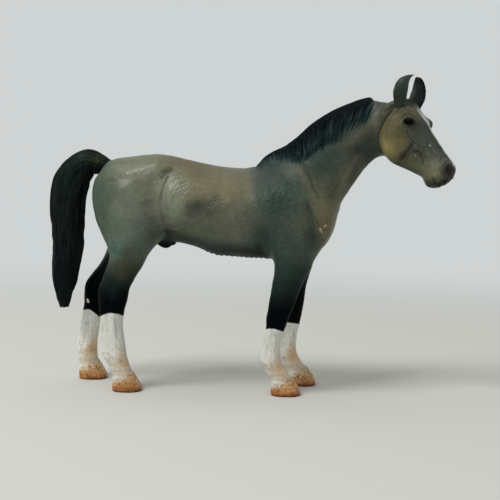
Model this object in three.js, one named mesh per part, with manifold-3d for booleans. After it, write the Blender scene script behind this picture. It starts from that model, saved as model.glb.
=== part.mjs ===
// Toy stallion, a solid vinyl farm figure that stands on its own four hooves.
// Millimetres, +Z up, +X to the muzzle, +Y to the horse's left.
// The animal is one flowing shape, so it is written as one blended form. The form is cut
// at the plug seams into the pieces that are moulded apart and glued together.

import * as THREE from 'three';
import { mergeVertices } from 'three/addons/utils/BufferGeometryUtils.js';
import Module from 'manifold-3d';

// Trunk
const TRUNK_LENGTH = 87;
const TRUNK_DEPTH = 36;
const TRUNK_WIDTH = 34;
const BARREL_HEIGHT = 66;
const TRUNK_CAP = 5;

// Neck and mane
const NECK_LENGTH = 52;
const NECK_DEPTH = 25;
const NECK_WIDTH = 20;
const NECK_SLOPE = 40;
const NECK_BEND = 6;
const LOCK_LENGTH = 15;
const LOCK_WIDTH = 7.4;
const LOCK_THICKNESS = 2.6;
const LOCK_COUNT = 11;

// Head
const HEAD_LENGTH = 35.3;
const HEAD_DEPTH = 20;
const HEAD_WIDTH = 12;
const HEAD_SLOPE = 51.5;
const HEAD_TURN = 38;
const HEAD_TILT = 10;
const EAR_LENGTH = 9.7;
const EAR_WIDTH = 6;
const EAR_DEPTH = 7.2;
const EYE_LENGTH = 4.2;
const EYE_HEIGHT = 2.4;
const NOSTRIL_LENGTH = 3.6;
const NOSTRIL_HEIGHT = 1.9;
const MOUTH_LENGTH = 5;
const MOUTH_HEIGHT = 0.8;

// Legs
const LEG_HEIGHT = 80;
const LIMB_DEPTH = 10;
const LIMB_WIDTH = 10;
const HOOF_LENGTH = 10.2;
const HOOF_WIDTH = 9.4;
const HOOF_HEIGHT = 7.2;
const STANCE_WIDTH = 19;

// Tail
const TAIL_DROP = 56;
const TAIL_REACH = 18;
const TAIL_THICKNESS = 12;
const TAIL_WIDTH = 11;
const TAIL_GROOVE = 0.55;

// Plugs between the moulded pieces
const SEAM_GAP = 0.3;
const LEG_SEAM_HEIGHT = 46;
const PLUG_LENGTH = 5;
const LEG_PLUG = 5;
const HEAD_PLUG = 7;
const KEY_DEPTH = 0.8;

// Soft blends and the relief of the muscles
const NECK_BLEND = 7;
const LIMB_BLEND = 5;
const HEAD_BLEND = 4;
const HOOF_BLEND = 0.7;
const RELIEF = 1;
const SHEATH_SIZE = 2.8;

// Fineness of the faceted form
const WELD = 0.0001;
const TINY = 0.000001;
const BODY_CELL = 2.8;
const HEAD_CELL = 1.55;
const LEG_SIDES = 18;
const TAIL_SIDES = 22;
const TAIL_RINGS = 26;
const OVERRUN = 2;

// Rows of a loft: share of the length, then top, bottom and half width in shares of depth
// and width, then how much narrower the top is.
const trunkShares = [
  [0.00, 0.38, -0.05, 0.20, 0.1],
  [0.05, 0.425, -0.17, 0.265, 0.1],
  [0.10, 0.455, -0.28, 0.34, 0.15],
  [0.15, 0.472, -0.32, 0.39, 0.15],
  [0.20, 0.486, -0.347, 0.42, 0.15],
  [0.25, 0.495, -0.36, 0.435, 0.15],
  [0.30, 0.487, -0.367, 0.435, 0.15],
  [0.40, 0.435, -0.405, 0.455, 0.15],
  [0.50, 0.39, -0.486, 0.485, 0.2],
  [0.60, 0.37, -0.505, 0.494, 0.25],
  [0.65, 0.385, -0.51, 0.482, 0.35],
  [0.70, 0.415, -0.514, 0.46, 0.5],
  [0.75, 0.425, -0.517, 0.435, 0.55],
  [0.80, 0.40, -0.51, 0.41, 0.5],
  [0.85, 0.35, -0.495, 0.39, 0.4],
  [0.90, 0.265, -0.47, 0.36, 0.3],
  [0.95, 0.17, -0.375, 0.31, 0.2],
  [1.00, 0.06, -0.22, 0.235, 0.1],
];
const neckShares = [
  [0.0, 0.54, -0.56, 0.60, 0.5, 0.0],
  [0.1, 0.60, -0.58, 0.60, 0.5, 0.0],
  [0.2, 0.61, -0.57, 0.565, 0.5, 0.0],
  [0.3, 0.585, -0.53, 0.51, 0.45, 0.0],
  [0.4, 0.58, -0.465, 0.45, 0.4, 0.05],
  [0.5, 0.59, -0.40, 0.395, 0.4, 0.15],
  [0.6, 0.575, -0.34, 0.35, 0.35, 0.28],
  [0.7, 0.535, -0.32, 0.315, 0.3, 0.42],
  [0.8, 0.47, -0.385, 0.29, 0.25, 0.58],
  [0.9, 0.385, -0.43, 0.26, 0.2, 0.78],
  [1.0, 0.23, -0.26, 0.20, 0.1, 1.0],
];
const headShares = [
  [0.0, 0.28, -0.24, 0.33, 0.0],
  [0.1, 0.35, -0.39, 0.42, 0.0],
  [0.2, 0.385, -0.475, 0.475, 0.05],
  [0.3, 0.39, -0.50, 0.48, 0.1],
  [0.4, 0.38, -0.53, 0.45, 0.15],
  [0.5, 0.36, -0.495, 0.405, 0.2],
  [0.6, 0.355, -0.39, 0.355, 0.2],
  [0.7, 0.355, -0.29, 0.325, 0.15],
  [0.8, 0.36, -0.205, 0.325, 0.1],
  [0.9, 0.365, -0.215, 0.345, 0.1],
  [1.0, 0.30, -0.13, 0.30, 0.1],
];

// Rows of a leg: share of the leg's height, then its front line, its back line, its half
// width and its centre's side step in shares of the limb's depth and width.
const haunchShares = [
  [0.65, 0.99, -0.76, 0.70, 0.06],
  [0.70, 1.20, -0.95, 0.76, 0.10],
  [0.75, 1.32, -1.13, 0.80, 0.14],
  [0.80, 1.38, -1.24, 0.82, 0.18],
  [0.85, 1.38, -1.30, 0.81, 0.22],
  [0.90, 1.32, -1.29, 0.77, 0.27],
  [0.95, 1.18, -1.16, 0.68, 0.33],
  [1.00, 0.93, -0.90, 0.52, 0.40],
];
const rightHindShares = [
  [0.05, 0.24, -0.44, 0.36, -0.07],
  [0.10, 0.16, -0.59, 0.35, -0.06],
  [0.15, 0.02, -0.81, 0.38, -0.05],
  [0.20, -0.04, -0.87, 0.33, -0.04],
  [0.25, -0.10, -0.90, 0.30, -0.03],
  [0.30, -0.13, -0.93, 0.30, -0.02],
  [0.35, -0.09, -0.98, 0.34, 0.00],
  [0.40, 0.01, -1.01, 0.39, 0.01],
  [0.45, 0.09, -1.00, 0.39, 0.02],
  [0.50, 0.29, -0.85, 0.42, 0.02],
  [0.55, 0.53, -0.70, 0.50, 0.02],
  [0.60, 0.72, -0.62, 0.60, 0.04],
  ...haunchShares,
];
const leftHindShares = [
  [0.05, -1.42, -2.04, 0.36, 0.02],
  [0.10, -1.49, -2.22, 0.35, 0.01],
  [0.15, -1.52, -2.28, 0.38, 0.01],
  [0.20, -1.48, -2.19, 0.33, 0.00],
  [0.25, -1.42, -2.14, 0.30, 0.00],
  [0.30, -1.36, -2.08, 0.30, 0.00],
  [0.35, -1.26, -2.01, 0.34, 0.00],
  [0.40, -1.14, -2.00, 0.39, 0.00],
  [0.45, -0.99, -1.94, 0.39, 0.01],
  [0.50, -0.72, -1.66, 0.42, 0.02],
  [0.55, -0.36, -1.35, 0.50, 0.03],
  [0.60, 0.02, -1.16, 0.60, 0.04],
  [0.65, 0.40, -1.06, 0.70, 0.06],
  [0.70, 0.80, -1.09, 0.76, 0.10],
  ...haunchShares.slice(2),
];
const shoulderShares = [
  [0.65, 1.08, -0.75, 0.60, 0.08],
  [0.70, 1.22, -0.98, 0.62, 0.12],
  [0.75, 1.26, -1.08, 0.62, 0.16],
  [0.80, 1.20, -1.10, 0.60, 0.20],
  [0.85, 1.02, -1.08, 0.56, 0.26],
  [0.90, 0.72, -1.00, 0.48, 0.34],
  [0.95, 0.36, -0.84, 0.38, 0.44],
];
const rightForeShares = [
  [0.05, 0.24, -0.54, 0.36, 0.09],
  [0.10, 0.03, -0.75, 0.34, 0.09],
  [0.15, -0.21, -0.98, 0.37, 0.09],
  [0.20, -0.25, -0.93, 0.29, 0.09],
  [0.25, -0.20, -0.83, 0.28, 0.09],
  [0.30, -0.08, -0.76, 0.33, 0.09],
  [0.35, 0.08, -0.72, 0.38, 0.09],
  [0.40, 0.23, -0.67, 0.38, 0.09],
  [0.45, 0.37, -0.61, 0.42, 0.08],
  [0.50, 0.53, -0.55, 0.47, 0.08],
  [0.55, 0.73, -0.50, 0.52, 0.08],
  [0.60, 0.90, -0.52, 0.57, 0.08],
  ...shoulderShares,
];
const leftForeShares = [
  [0.05, 0.72, -0.06, 0.36, -0.03],
  [0.10, 0.51, -0.24, 0.34, -0.02],
  [0.15, 0.28, -0.54, 0.37, -0.02],
  [0.20, 0.26, -0.48, 0.29, -0.01],
  [0.25, 0.31, -0.38, 0.28, 0.00],
  [0.30, 0.40, -0.34, 0.33, 0.01],
  [0.35, 0.47, -0.32, 0.38, 0.02],
  [0.40, 0.53, -0.34, 0.38, 0.03],
  [0.45, 0.58, -0.36, 0.42, 0.04],
  [0.50, 0.67, -0.38, 0.47, 0.05],
  [0.55, 0.79, -0.44, 0.52, 0.06],
  [0.60, 0.90, -0.52, 0.57, 0.08],
  ...shoulderShares,
];
// Each leg: hip place as a share of the trunk, toe place and hoof's side step in limb depths.
const legShares = {
  right_foreleg: { side: -1, hip: 0.805, toe: 0.48, step: 0.09, rows: rightForeShares },
  left_foreleg: { side: 1, hip: 0.805, toe: 1.00, step: -0.03, rows: leftForeShares },
  right_hind_leg: { side: -1, hip: 0.15, toe: 0.56, step: -0.07, rows: rightHindShares },
  left_hind_leg: { side: 1, hip: 0.15, toe: -1.13, step: 0.02, rows: leftHindShares },
};
// Rows of a hoof: share of its height, then toe and heel from the toe in shares of its
// length, and half width.
const hoofShares = [
  [0.00, -0.02, -1.00, 0.49],
  [0.16, 0.00, -1.01, 0.50],
  [0.50, -0.11, -1.01, 0.48],
  [0.83, -0.26, -0.99, 0.44],
  [1.02, -0.36, -0.95, 0.40],
];
// Rows of an ear: share of its length, its middle's place outward in shares of the head's
// width and forward in shares of its length, then half breadth and depth of the back.
const earShares = [
  [-0.20, 0.27, 0.13, 0.32, 0.40],
  [0.00, 0.30, 0.16, 0.37, 0.46],
  [0.20, 0.36, 0.20, 0.44, 0.52],
  [0.39, 0.39, 0.24, 0.49, 0.54],
  [0.65, 0.39, 0.29, 0.43, 0.48],
  [0.82, 0.34, 0.35, 0.36, 0.40],
  [0.91, 0.26, 0.39, 0.29, 0.31],
  [0.97, 0.17, 0.42, 0.20, 0.22],
  [0.985, 0.11, 0.43, 0.10, 0.13],
];
// Each ear's own pose: side of the head, its shift forward and up in shares of its length, the
// share of a turn it swivels inward, then how far its tip curls in, in shares of the head's width.
const earPoseShares = [
  [-1, 0.06, -0.11, 0.13, 0],
  [1, 0.20, -0.16, 0.03, 0.17],
];
// Heights at which a leg is sliced, as shares of its seam's height.
const sliceShares = [
  0, 0.03, 0.075, 0.125, 0.155, 0.19, 0.23, 0.265, 0.31, 0.37, 0.44, 0.51, 0.57, 0.63,
  0.69, 0.75, 0.81, 0.87, 0.93, 1,
];
// Rows of the tail: place from the dock in shares of its reach and drop, then thickness
// and width in shares.
const tailShares = [
  [0.30, -0.035, 0.36, 0.36],
  [0.05, -0.012, 0.46, 0.44],
  [-0.10, 0.003, 0.60, 0.54],
  [-0.33, 0.01, 0.80, 0.70],
  [-0.55, -0.045, 0.98, 0.85],
  [-0.68, -0.125, 1.04, 0.93],
  [-0.74, -0.235, 1.02, 0.98],
  [-0.75, -0.36, 0.99, 1.00],
  [-0.74, -0.47, 0.93, 1.00],
  [-0.75, -0.565, 0.89, 0.96],
  [-0.78, -0.65, 0.84, 0.92],
  [-0.80, -0.74, 0.76, 0.82],
  [-0.82, -0.82, 0.56, 0.66],
  [-0.82, -0.88, 0.40, 0.46],
  [-0.81, -0.93, 0.22, 0.26],
];
// Clay strokes on the trunk: from and to in shares of its length and depth, then reach in
// shares of its depth and lift in shares of the relief.
const trunkStrokeShares = [
  [0.64, 0.36, 0.94, -0.12, 0.10, 0.6],
  [0.74, 0.02, 0.80, -0.32, 0.15, 0.8],
  [0.62, 0.28, 0.68, -0.40, 0.08, -0.5],
  [0.96, -0.12, 0.99, -0.34, 0.09, 0.6],
  [0.285, 0.05, 0.27, 0.22, 0.11, -1.0],
  [0.31, -0.30, 0.25, -0.02, 0.06, -0.9],
  [0.27, 0.33, 0.25, 0.30, 0.09, 0.9],
  [0.09, 0.22, 0.14, -0.30, 0.05, -0.5],
  [0.17, 0.10, 0.20, -0.25, 0.16, 0.7],
  [0.40, -0.30, 0.60, -0.40, 0.14, 0.5],
];
// Strokes on the head: from and to in shares of its length and depth, reach in shares of
// its depth, lift in shares of the relief.
const headStrokeShares = [
  [0.24, 0.26, 0.33, 0.25, 0.11, 1.9],
  [0.30, 0.06, 0.62, 0.06, 0.06, 0.6],
  [0.40, -0.08, 0.56, -0.22, 0.10, -0.7],
  [0.30, -0.22, 0.40, -0.32, 0.16, 0.6],
  [0.10, 0.12, 0.24, -0.40, 0.05, -0.5],
  [0.84, 0.24, 0.90, 0.22, 0.09, 0.6],
  [0.66, 0.10, 0.78, 0.14, 0.08, -0.3],
];

// Rows of the sheath: share of its length, then top, bottom and half width in shares of its size.
const sheathShares = [
  [0, 1.1, -0.4, 0.6, 0, 0],
  [0.6, 1.6, -0.95, 0.8, 0, 0],
  [1, 1.3, -0.3, 0.55, 0, 0],
];
// Breadth of a lock of hair from its root to its point.
const lockShares = [0.75, 1, 1, 0.85, 0.6, 0.32, 0.06];

const wasm = await Module();
wasm.setup();

const radians = THREE.MathUtils.degToRad;
const vec = (x, y, z) => new THREE.Vector3(x, y, z);
const FORWARD = vec(1, 0, 0);
const LEFT = vec(0, 1, 0);
const UP = vec(0, 0, 1);

// Manifold helpers

function toSolid(geometry) {
  const bare = new THREE.BufferGeometry();
  bare.setAttribute('position', geometry.getAttribute('position').clone());
  if (geometry.index) bare.setIndex(geometry.index.clone());
  const welded = mergeVertices(bare, WELD);
  return new wasm.Manifold(new wasm.Mesh({
    numProp: 3,
    vertProperties: new Float32Array(welded.attributes.position.array),
    triVerts: new Uint32Array(welded.index.array),
  }));
}

function toGeometry(solid) {
  const mesh = solid.getMesh();
  const geometry = new THREE.BufferGeometry();
  geometry.setAttribute('position', new THREE.BufferAttribute(mesh.vertProperties, 3));
  geometry.setIndex(new THREE.BufferAttribute(mesh.triVerts, 1));
  geometry.computeVertexNormals();
  return geometry;
}

function fromRings(rings) {
  const sides = rings[0].length;
  const index = [];
  for (let r = 0; r + 1 < rings.length; r += 1) {
    for (let s = 0; s < sides; s += 1) {
      const a = r * sides + s;
      const b = r * sides + (s + 1) % sides;
      index.push(a, b, a + sides, b, b + sides, a + sides);
    }
  }
  const last = rings.length - 1;
  const centre = (ring) => ring.reduce((sum, p) => sum.add(p), vec(0, 0, 0)).divideScalar(sides);
  const points = [...rings.flat(), centre(rings[0]), centre(rings[last])];
  for (let s = 0; s < sides; s += 1) {
    const next = (s + 1) % sides;
    index.push(rings.length * sides, next, s);
    index.push(rings.length * sides + 1, last * sides + s, last * sides + next);
  }
  if (signedVolume(points, index) < 0) index.reverse();
  return new THREE.BufferGeometry().setFromPoints(points).setIndex(index);
}

function signedVolume(points, index) {
  let sum = 0;
  for (let t = 0; t < index.length; t += 3) {
    const [a, b, c] = [points[index[t]], points[index[t + 1]], points[index[t + 2]]];
    sum += a.dot(b.clone().cross(c)) / 6;
  }
  return sum;
}

// Field helpers. A field gives the distance to a surface, negative inside it.

// Rows become smooth curves: each column is a cubic through the rows' values.
function smoothRows(rows) {
  const slope = (i, c) => {
    const before = rows[Math.max(i - 1, 0)];
    const after = rows[Math.min(i + 1, rows.length - 1)];
    return (after[c] - before[c]) / (after[0] - before[0]);
  };
  return (along) => {
    let i = 0;
    while (i < rows.length - 2 && along > rows[i + 1][0]) i += 1;
    const span = rows[i + 1][0] - rows[i][0];
    const t = THREE.MathUtils.clamp((along - rows[i][0]) / span, 0, 1);
    return rows[i].slice(1).map((value, k) => {
      const c = k + 1;
      const rise = rows[i + 1][c] - value;
      const from = slope(i, c) * span;
      const to = slope(i + 1, c) * span;
      return value + t * (from + t * (3 * rise - 2 * from - to + t * (from + to - 2 * rise)));
    });
  };
}

// A loft along a straight axis. Its sections come from the table as top, bottom, half
// width, narrowing of the top and side shift, in millimetres.
function loft({ origin, along, up, side, length, section, startCap = 0, endCap = 0, power = 2 }) {
  return (p) => {
    const q = p.clone().sub(origin);
    const place = q.dot(along);
    const held = THREE.MathUtils.clamp(place, 0, length);
    const [top, bottom, half, pinch, shift] = section(held / length);
    const cap = Math.min(roundEnd(held, startCap), roundEnd(length - held, endCap));
    const middle = (top + bottom) / 2;
    const rise = q.dot(up) - middle;
    const across = q.dot(side) - (shift || 0);
    const v = rise / Math.max((top - bottom) / 2 * cap, TINY);
    const narrow = 1 - (pinch || 0) * Math.max(Math.min(v, 1), 0) ** 2;
    const u = across / Math.max(half * narrow * cap, TINY);
    const reach = (Math.abs(u) ** power + Math.abs(v) ** power) ** (1 / power);
    const away = Math.hypot(rise, across);
    const distance = reach > 1e-3 ? away * (1 - 1 / reach) : -Math.min(half, (top - bottom) / 2);
    const past = Math.abs(place - held);
    return past > 0 ? Math.hypot(Math.max(distance, 0), past) : distance;
  };
}

function roundEnd(inset, cap) {
  if (inset >= cap) return 1;
  return Math.sqrt(Math.max(1 - (1 - inset / cap) ** 2, 1e-6));
}

function blend(a, b, reach) {
  const mix = Math.max(reach - Math.abs(a - b), 0) / reach;
  return Math.min(a, b) - mix * mix * reach / 4;
}

// Lift of the surface by a clay stroke that runs from one point to another.
function strokeLift(x, z, [x1, z1, x2, z2, reach, lift]) {
  const dx = x2 - x1;
  const dz = z2 - z1;
  const t = THREE.MathUtils.clamp(((x - x1) * dx + (z - z1) * dz) / (dx * dx + dz * dz), 0, 1);
  const away = Math.hypot(x - x1 - t * dx, z - z1 - t * dz) / reach;
  return lift * Math.exp(-away * away);
}

// The trunk's own frame
const rumpX = -TRUNK_LENGTH * 0.64;
const trunkX = (share) => rumpX + share * TRUNK_LENGTH;
const trunkZ = (share) => BARREL_HEIGHT + share * TRUNK_DEPTH;
const trunkTable = smoothRows(trunkShares);
const trunkField = loft({
  origin: vec(rumpX, 0, BARREL_HEIGHT),
  along: FORWARD,
  up: UP,
  side: LEFT,
  length: TRUNK_LENGTH,
  startCap: TRUNK_CAP,
  endCap: TRUNK_CAP,
  section: (share) => {
    const [top, bottom, half, pinch] = trunkTable(share);
    return [top * TRUNK_DEPTH, bottom * TRUNK_DEPTH, half * TRUNK_WIDTH, pinch, 0];
  },
});
const trunkStrokes = trunkStrokeShares.map(([x1, z1, x2, z2, reach, lift]) => [
  trunkX(x1), trunkZ(z1), trunkX(x2), trunkZ(z2), reach * TRUNK_DEPTH, lift * RELIEF,
]);

// The neck rises from inside the chest to the poll and bends to the right
const neckOrigin = vec(trunkX(0.76), 0, BARREL_HEIGHT);
const neckAlong = vec(Math.cos(radians(NECK_SLOPE)), 0, Math.sin(radians(NECK_SLOPE)));
const neckUp = vec(-neckAlong.z, 0, neckAlong.x);
const neckTable = smoothRows(neckShares);
const neckField = loft({
  origin: neckOrigin,
  along: neckAlong,
  up: neckUp,
  side: LEFT,
  length: NECK_LENGTH,
  startCap: NECK_DEPTH * 0.3,
  endCap: TRUNK_CAP,
  section: (share) => {
    const [top, bottom, half, pinch, bend] = neckTable(share);
    return [
      top * NECK_DEPTH, bottom * NECK_DEPTH, half * NECK_WIDTH, pinch, -bend * NECK_BEND,
    ];
  },
});
const onNeck = (share, rise, across) => neckOrigin.clone()
  .addScaledVector(neckAlong, share * NECK_LENGTH)
  .addScaledVector(neckUp, rise)
  .addScaledVector(LEFT, across);

// The head hangs from the poll, turned to the right
const poll = onNeck(0.985, 0, -NECK_BEND);
const headAlong = vec(
  Math.cos(radians(HEAD_TURN)) * Math.cos(radians(HEAD_SLOPE)),
  -Math.sin(radians(HEAD_TURN)) * Math.cos(radians(HEAD_SLOPE)),
  -Math.sin(radians(HEAD_SLOPE)),
);
const level = vec(Math.sin(radians(HEAD_TURN)), Math.cos(radians(HEAD_TURN)), 0);
const headUp = headAlong.clone().cross(level)
  .addScaledVector(level, Math.sin(radians(HEAD_TILT)))
  .normalize();
const headSide = headUp.clone().cross(headAlong);
const headTable = smoothRows(headShares);
const headOrigin = poll.clone().addScaledVector(headAlong, -HEAD_LENGTH * 0.09);
const headLoft = loft({
  origin: headOrigin,
  along: headAlong,
  up: headUp,
  side: headSide,
  length: HEAD_LENGTH,
  startCap: HEAD_DEPTH * 0.15,
  endCap: HEAD_DEPTH * 0.17,
  power: 2.3,
  section: (share) => {
    const [top, bottom, half, pinch] = headTable(share);
    return [top * HEAD_DEPTH, bottom * HEAD_DEPTH, half * HEAD_WIDTH, pinch, 0];
  },
});
const onHead = (share, rise, across) => headOrigin.clone()
  .addScaledVector(headAlong, share * HEAD_LENGTH)
  .addScaledVector(headUp, rise * HEAD_DEPTH)
  .addScaledVector(headSide, across * HEAD_WIDTH);
const headStrokes = headStrokeShares.map(([x1, z1, x2, z2, reach, lift]) => [
  x1 * HEAD_LENGTH, z1 * HEAD_DEPTH, x2 * HEAD_LENGTH, z2 * HEAD_DEPTH,
  reach * HEAD_DEPTH, lift * RELIEF,
]);

function headField(p) {
  const q = p.clone().sub(headOrigin);
  const sideways = Math.min(Math.abs(q.dot(headSide)) / (HEAD_WIDTH * 0.3), 1);
  const lift = headStrokes.reduce(
    (sum, stroke) => sum + strokeLift(q.dot(headAlong), q.dot(headUp), stroke), 0,
  );
  return headLoft(p) - lift * sideways * sideways;
}

// A leg with its hoof
function legParts({ side, hip, toe, step, rows }) {
  const hipX = trunkX(hip);
  const stance = side * STANCE_WIDTH / 2;
  const table = smoothRows(rows);
  const first = rows[0][0];
  const last = rows[rows.length - 1][0];
  const limb = loft({
    origin: vec(hipX, stance, first * LEG_HEIGHT),
    along: UP,
    up: FORWARD,
    side: LEFT,
    length: (last - first) * LEG_HEIGHT,
    startCap: LIMB_DEPTH * 0.2,
    endCap: LIMB_DEPTH * 0.6,
    power: 2.2,
    section: (share) => {
      const [front, back, half, inward] = table(first + share * (last - first));
      const shift = -side * inward * LIMB_WIDTH;
      return [front * LIMB_DEPTH, back * LIMB_DEPTH, half * LIMB_WIDTH, 0, shift];
    },
  });
  const toeX = hipX + toe * LIMB_DEPTH;
  const hoofTable = smoothRows(hoofShares);
  const hoof = loft({
    origin: vec(toeX, stance - side * step * LIMB_WIDTH, 0),
    along: UP,
    up: FORWARD,
    side: LEFT,
    length: HOOF_HEIGHT,
    endCap: HOOF_HEIGHT * 0.1,
    power: 2.4,
    section: (share) => {
      const [front, back, half] = hoofTable(share);
      return [front * HOOF_LENGTH, back * HOOF_LENGTH, half * HOOF_WIDTH, 0, 0];
    },
  });
  const centre = (height) => {
    const [front, back, , inward] = table(Math.max(height / LEG_HEIGHT, first));
    return vec(
      hipX + (front + back) / 2 * LIMB_DEPTH,
      stance - side * inward * LIMB_WIDTH,
      height,
    );
  };
  return { side, limb, hoof, centre };
}
const legs = Object.fromEntries(
  Object.entries(legShares).map(([name, shares]) => [name, legParts(shares)]),
);

// The sheath under the belly
const sheathTable = smoothRows(sheathShares);
const sheathField = loft({
  origin: vec(trunkX(0.23), 0, trunkZ(-0.35)),
  along: vec(Math.cos(radians(12)), 0, -Math.sin(radians(12))),
  up: vec(Math.sin(radians(12)), 0, Math.cos(radians(12))),
  side: LEFT,
  length: SHEATH_SIZE * 3.2,
  startCap: SHEATH_SIZE,
  endCap: SHEATH_SIZE * 0.8,
  section: (share) => sheathTable(share).map((value) => value * SHEATH_SIZE),
});

function bodyField(p) {
  let distance = blend(trunkField(p), neckField(p), NECK_BLEND);
  for (const { limb } of Object.values(legs)) distance = blend(distance, limb(p), LIMB_BLEND);
  distance = blend(distance, sheathField(p), SHEATH_SIZE / 2);
  const sideways = Math.min(Math.abs(p.y) / (TRUNK_WIDTH * 0.3), 1);
  const lift = trunkStrokes.reduce((sum, stroke) => sum + strokeLift(p.x, p.z, stroke), 0);
  return distance - lift * sideways * sideways;
}

const frontField = (p) => blend(
  blend(trunkField(p), neckField(p), NECK_BLEND), headField(p), HEAD_BLEND,
);

// The corners, edges and faces of a grid cell. A corner's bits are its steps in x, y and z.
const stepShares = [[1, 0, 0], [0, 1, 0], [0, 0, 1]];
const cellCorners = Array.from({ length: 8 }, (_, c) => [c & 1, (c >> 1) & 1, (c >> 2) & 1]);
const cellFaces = stepShares.flatMap((_, axis) => [0, 1 << axis].map((far) => {
  const u = 1 << ((axis + 1) % 3);
  const v = 1 << ((axis + 2) % 3);
  return [0, u, u | v, v].map((bits) => bits | far);
}));
const edgeKey = (m, n) => Math.min(m, n) * 8 + Math.max(m, n);

// Turns a field into a closed faceted solid: points in every cell that the surface crosses,
// pulled onto the surface, and a quad round every grid edge that it crosses.
function facet(field, low, high, cell) {
  const grid = sampled(field, low, high, cell);
  const points = [];
  const pointOn = new Map();
  eachCell(grid, (i, j, k) => {
    const values = cellCorners.map(([x, y, z]) => grid.value(i + x, j + y, k + z));
    for (const sheet of sheets(values)) {
      const sum = vec(0, 0, 0);
      for (const key of sheet) {
        const [m, n] = [key >> 3, key & 7];
        const t = values[m] / (values[m] - values[n]);
        sum.add(vec(...cellCorners[m]).lerp(vec(...cellCorners[n]), t));
        pointOn.set(grid.at(i, j, k) * 64 + key, points.length);
      }
      const p = sum.divideScalar(sheet.length).add(vec(i, j, k)).multiplyScalar(cell).add(low);
      points.push(pulled(field, p, cell));
    }
  });
  const index = [];
  eachCell(grid, (i, j, k) => stepShares.forEach(([x, y, z], axis) => {
    const here = grid.value(i, j, k) < 0;
    if (here === grid.value(i + x, j + y, k + z) < 0) return;
    const [u, v] = [stepShares[(axis + 1) % 3], stepShares[(axis + 2) % 3]];
    const ring = [[0, 0], [1, 0], [1, 1], [0, 1]].map(([a, b]) => {
      const [dx, dy, dz] = [0, 1, 2].map((c) => a * u[c] + b * v[c]);
      const corner = dx + 2 * dy + 4 * dz;
      const key = edgeKey(corner, corner + (1 << axis));
      return pointOn.get(grid.at(i - dx, j - dy, k - dz) * 64 + key);
    });
    if (!here) ring.reverse();
    index.push(ring[0], ring[1], ring[2], ring[0], ring[2], ring[3]);
  }));
  relax(field, points, index, cell);
  return toSolid(new THREE.BufferGeometry().setFromPoints(points).setIndex(index));
}

// The field on a grid, always outside on the grid's own border
function sampled(field, low, high, cell) {
  const count = high.clone().sub(low).divideScalar(cell).ceil().addScalar(1);
  const [nx, ny, nz] = [count.x, count.y, count.z];
  const at = (i, j, k) => (k * ny + j) * nx + i;
  const values = new Float32Array(nx * ny * nz);
  for (let k = 0; k < nz; k += 1) {
    for (let j = 0; j < ny; j += 1) {
      for (let i = 0; i < nx; i += 1) {
        const edge = !i || !j || !k || i === nx - 1 || j === ny - 1 || k === nz - 1;
        const distance = field(vec(i, j, k).multiplyScalar(cell).add(low));
        values[at(i, j, k)] = edge ? Math.max(distance, cell) : distance;
      }
    }
  }
  return { nx, ny, nz, at, value: (i, j, k) => values[at(i, j, k)] };
}

function eachCell({ nx, ny, nz }, act) {
  for (let k = 0; k + 1 < nz; k += 1) {
    for (let j = 0; j + 1 < ny; j += 1) {
      for (let i = 0; i + 1 < nx; i += 1) act(i, j, k);
    }
  }
}

// The crossed edges of a cell, one list for each separate sheet of surface that crosses it
function sheets(values) {
  const inside = values.map((value) => value < 0);
  const lists = new Map();
  for (const face of cellFaces) {
    const crossed = face
      .map((corner, c) => [corner, face[(c + 1) % 4]])
      .filter(([m, n]) => inside[m] !== inside[n])
      .map(([m, n]) => edgeKey(m, n));
    if (crossed.length === 2) join(lists, crossed[0], crossed[1]);
    if (crossed.length === 4) {
      const first = inside[face[1]] ? 0 : 1;
      join(lists, crossed[first], crossed[first + 1]);
      join(lists, crossed[first + 2], crossed[(first + 3) % 4]);
    }
  }
  return new Set(lists.values());
}

function join(lists, a, b) {
  const first = lists.get(a) || [a];
  const second = lists.get(b) || [b];
  const whole = first === second ? first : [...first, ...second];
  for (const key of whole) lists.set(key, whole);
}

// Evens the facets: each point moves to the middle of its neighbours and back onto the form.
function relax(field, points, index, cell) {
  for (let round = 0; round < 3; round += 1) {
    const sums = points.map(() => ({ sum: vec(0, 0, 0), count: 0 }));
    for (let t = 0; t < index.length; t += 3) {
      for (let c = 0; c < 3; c += 1) {
        const entry = sums[index[t + c]];
        entry.sum.add(points[index[t + (c + 1) % 3]]).add(points[index[t + (c + 2) % 3]]);
        entry.count += 2;
      }
    }
    sums.forEach(({ sum, count }, i) => {
      points[i] = pulled(field, sum.divideScalar(count).lerp(points[i], 0.3), cell);
    });
  }
}

function pulled(field, p, cell) {
  const small = cell / 50;
  for (let round = 0; round < 2; round += 1) {
    const gradient = vec(...[FORWARD, LEFT, UP].map((axis) => (
      field(p.clone().addScaledVector(axis, small)) - field(p.clone().addScaledVector(axis, -small))
    ) / (2 * small)));
    const step = field(p) / Math.max(gradient.lengthSq(), 0.2);
    p.addScaledVector(gradient, -THREE.MathUtils.clamp(step, -cell / 2, cell / 2));
  }
  return p;
}

// A block that fills the space on the far side of a plane
function beyond(point, normal) {
  const size = TRUNK_LENGTH * 2;
  const block = new THREE.BoxGeometry(size, size, size);
  block.translate(0, 0, size / 2);
  block.applyQuaternion(new THREE.Quaternion().setFromUnitVectors(UP, normal.clone().normalize()));
  block.translate(point.x, point.y, point.z);
  return toSolid(block);
}

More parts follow.
